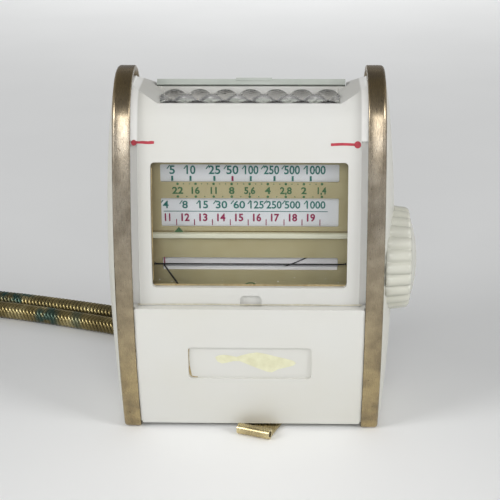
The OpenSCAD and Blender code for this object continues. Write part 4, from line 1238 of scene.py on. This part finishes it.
# %% Set the table
def make_table():
    mesh = bmesh.new()
    bmesh.ops.create_grid(mesh, x_segments=1, y_segments=1, size=3.0)
    table = finished("table", baked("table", mesh), False)
    made = Finish("table_top")
    plain = made.ramp(made.noise(60, 2), [(0.3, ink(228, 229, 229)), (0.7, ink(231, 232, 232))])
    # Painted light: the table is painted paler in a pool just in front of the meter.
    near = made.add("ShaderNodeVectorMath", made.place, operation="DISTANCE")
    near.inputs[1].default_value = (0, -0.05, 0)
    painted_light_pool = made.spread(near.outputs["Value"], 1.0, 0.0, (0.0, 0.09))
    made.set(Base_Color=made.mix(painted_light_pool, plain, ink(250, 250, 249)), Roughness=0.8)
    table.data.materials.append(made.mat)


make_table()

# %% Hang the lamps
def lamp(name, place, aim, size, watts, beam=180):
    """A soft lamp: size is its width and height, beam the angle over which it spreads."""
    data = bpy.data.lights.new(name, "AREA")
    data.shape, data.size, data.size_y = "RECTANGLE", *size
    data.energy, data.spread = watts, math.radians(beam)
    obj = finished(name, data, False)
    obj.location = place
    obj.rotation_euler = (Vector(aim) - Vector(place)).to_track_quat("-Z", "Y").to_euler()


lamp("key_lamp", (0.03, -0.57, 0.35), (0, 0, 0.05), (0.3, 0.18), 0.85)
lamp("left_lamp", (-0.6, -0.4, 0.45), (0, 0, 0.03), (0.3, 0.3), 2.6)
lamp("right_lamp", (0.62, -0.4, 0.45), (0, 0, 0.03), (0.3, 0.3), 2.5)
lamp("far_lamp", (0, 0.75, 0.45), (0, 0.6, 0), (0.5, 0.3), 0.6, 80)

# %% Hang the sky
PALE_BACK = 0.78


class Sky(Finish):
    """The world, built by the same recipe; its coordinates are directions."""

    def __init__(self, name):
        world = bpy.data.worlds.new(name)
        bpy.context.scene.world = world
        world.use_nodes = True
        Nodes.__init__(self, world.node_tree)
        self.shader = self.tree.nodes["Background"]
        self.place = self.add("ShaderNodeTexCoord").outputs["Generated"]


def hang_sky(front, back, sides, overhead):
    """A grey sky: its strength goes from front at -Y to back at +Y, then to the sides and up."""
    sky = Sky("studio")
    level = sky.spread(sky.along("Y"), front, back, (-1.0, 1.0))
    level = sky.spread(sky.maths("ABSOLUTE", sky.along("X")), level, sides, (0.55, 1.0))
    level = sky.spread(sky.along("Z"), level, overhead, (0.1, 1.0))
    seen = sky.add("ShaderNodeMix", sky.add("ShaderNodeLightPath").outputs["Is Camera Ray"],
                   A=level, B=PALE_BACK)
    sky.set(Color=(1, 1, 1, 1), Strength=seen.outputs[0])


hang_sky(0.6, 0.35, 1.0, 0.22)
bpy.context.scene.view_settings.view_transform = "Standard"
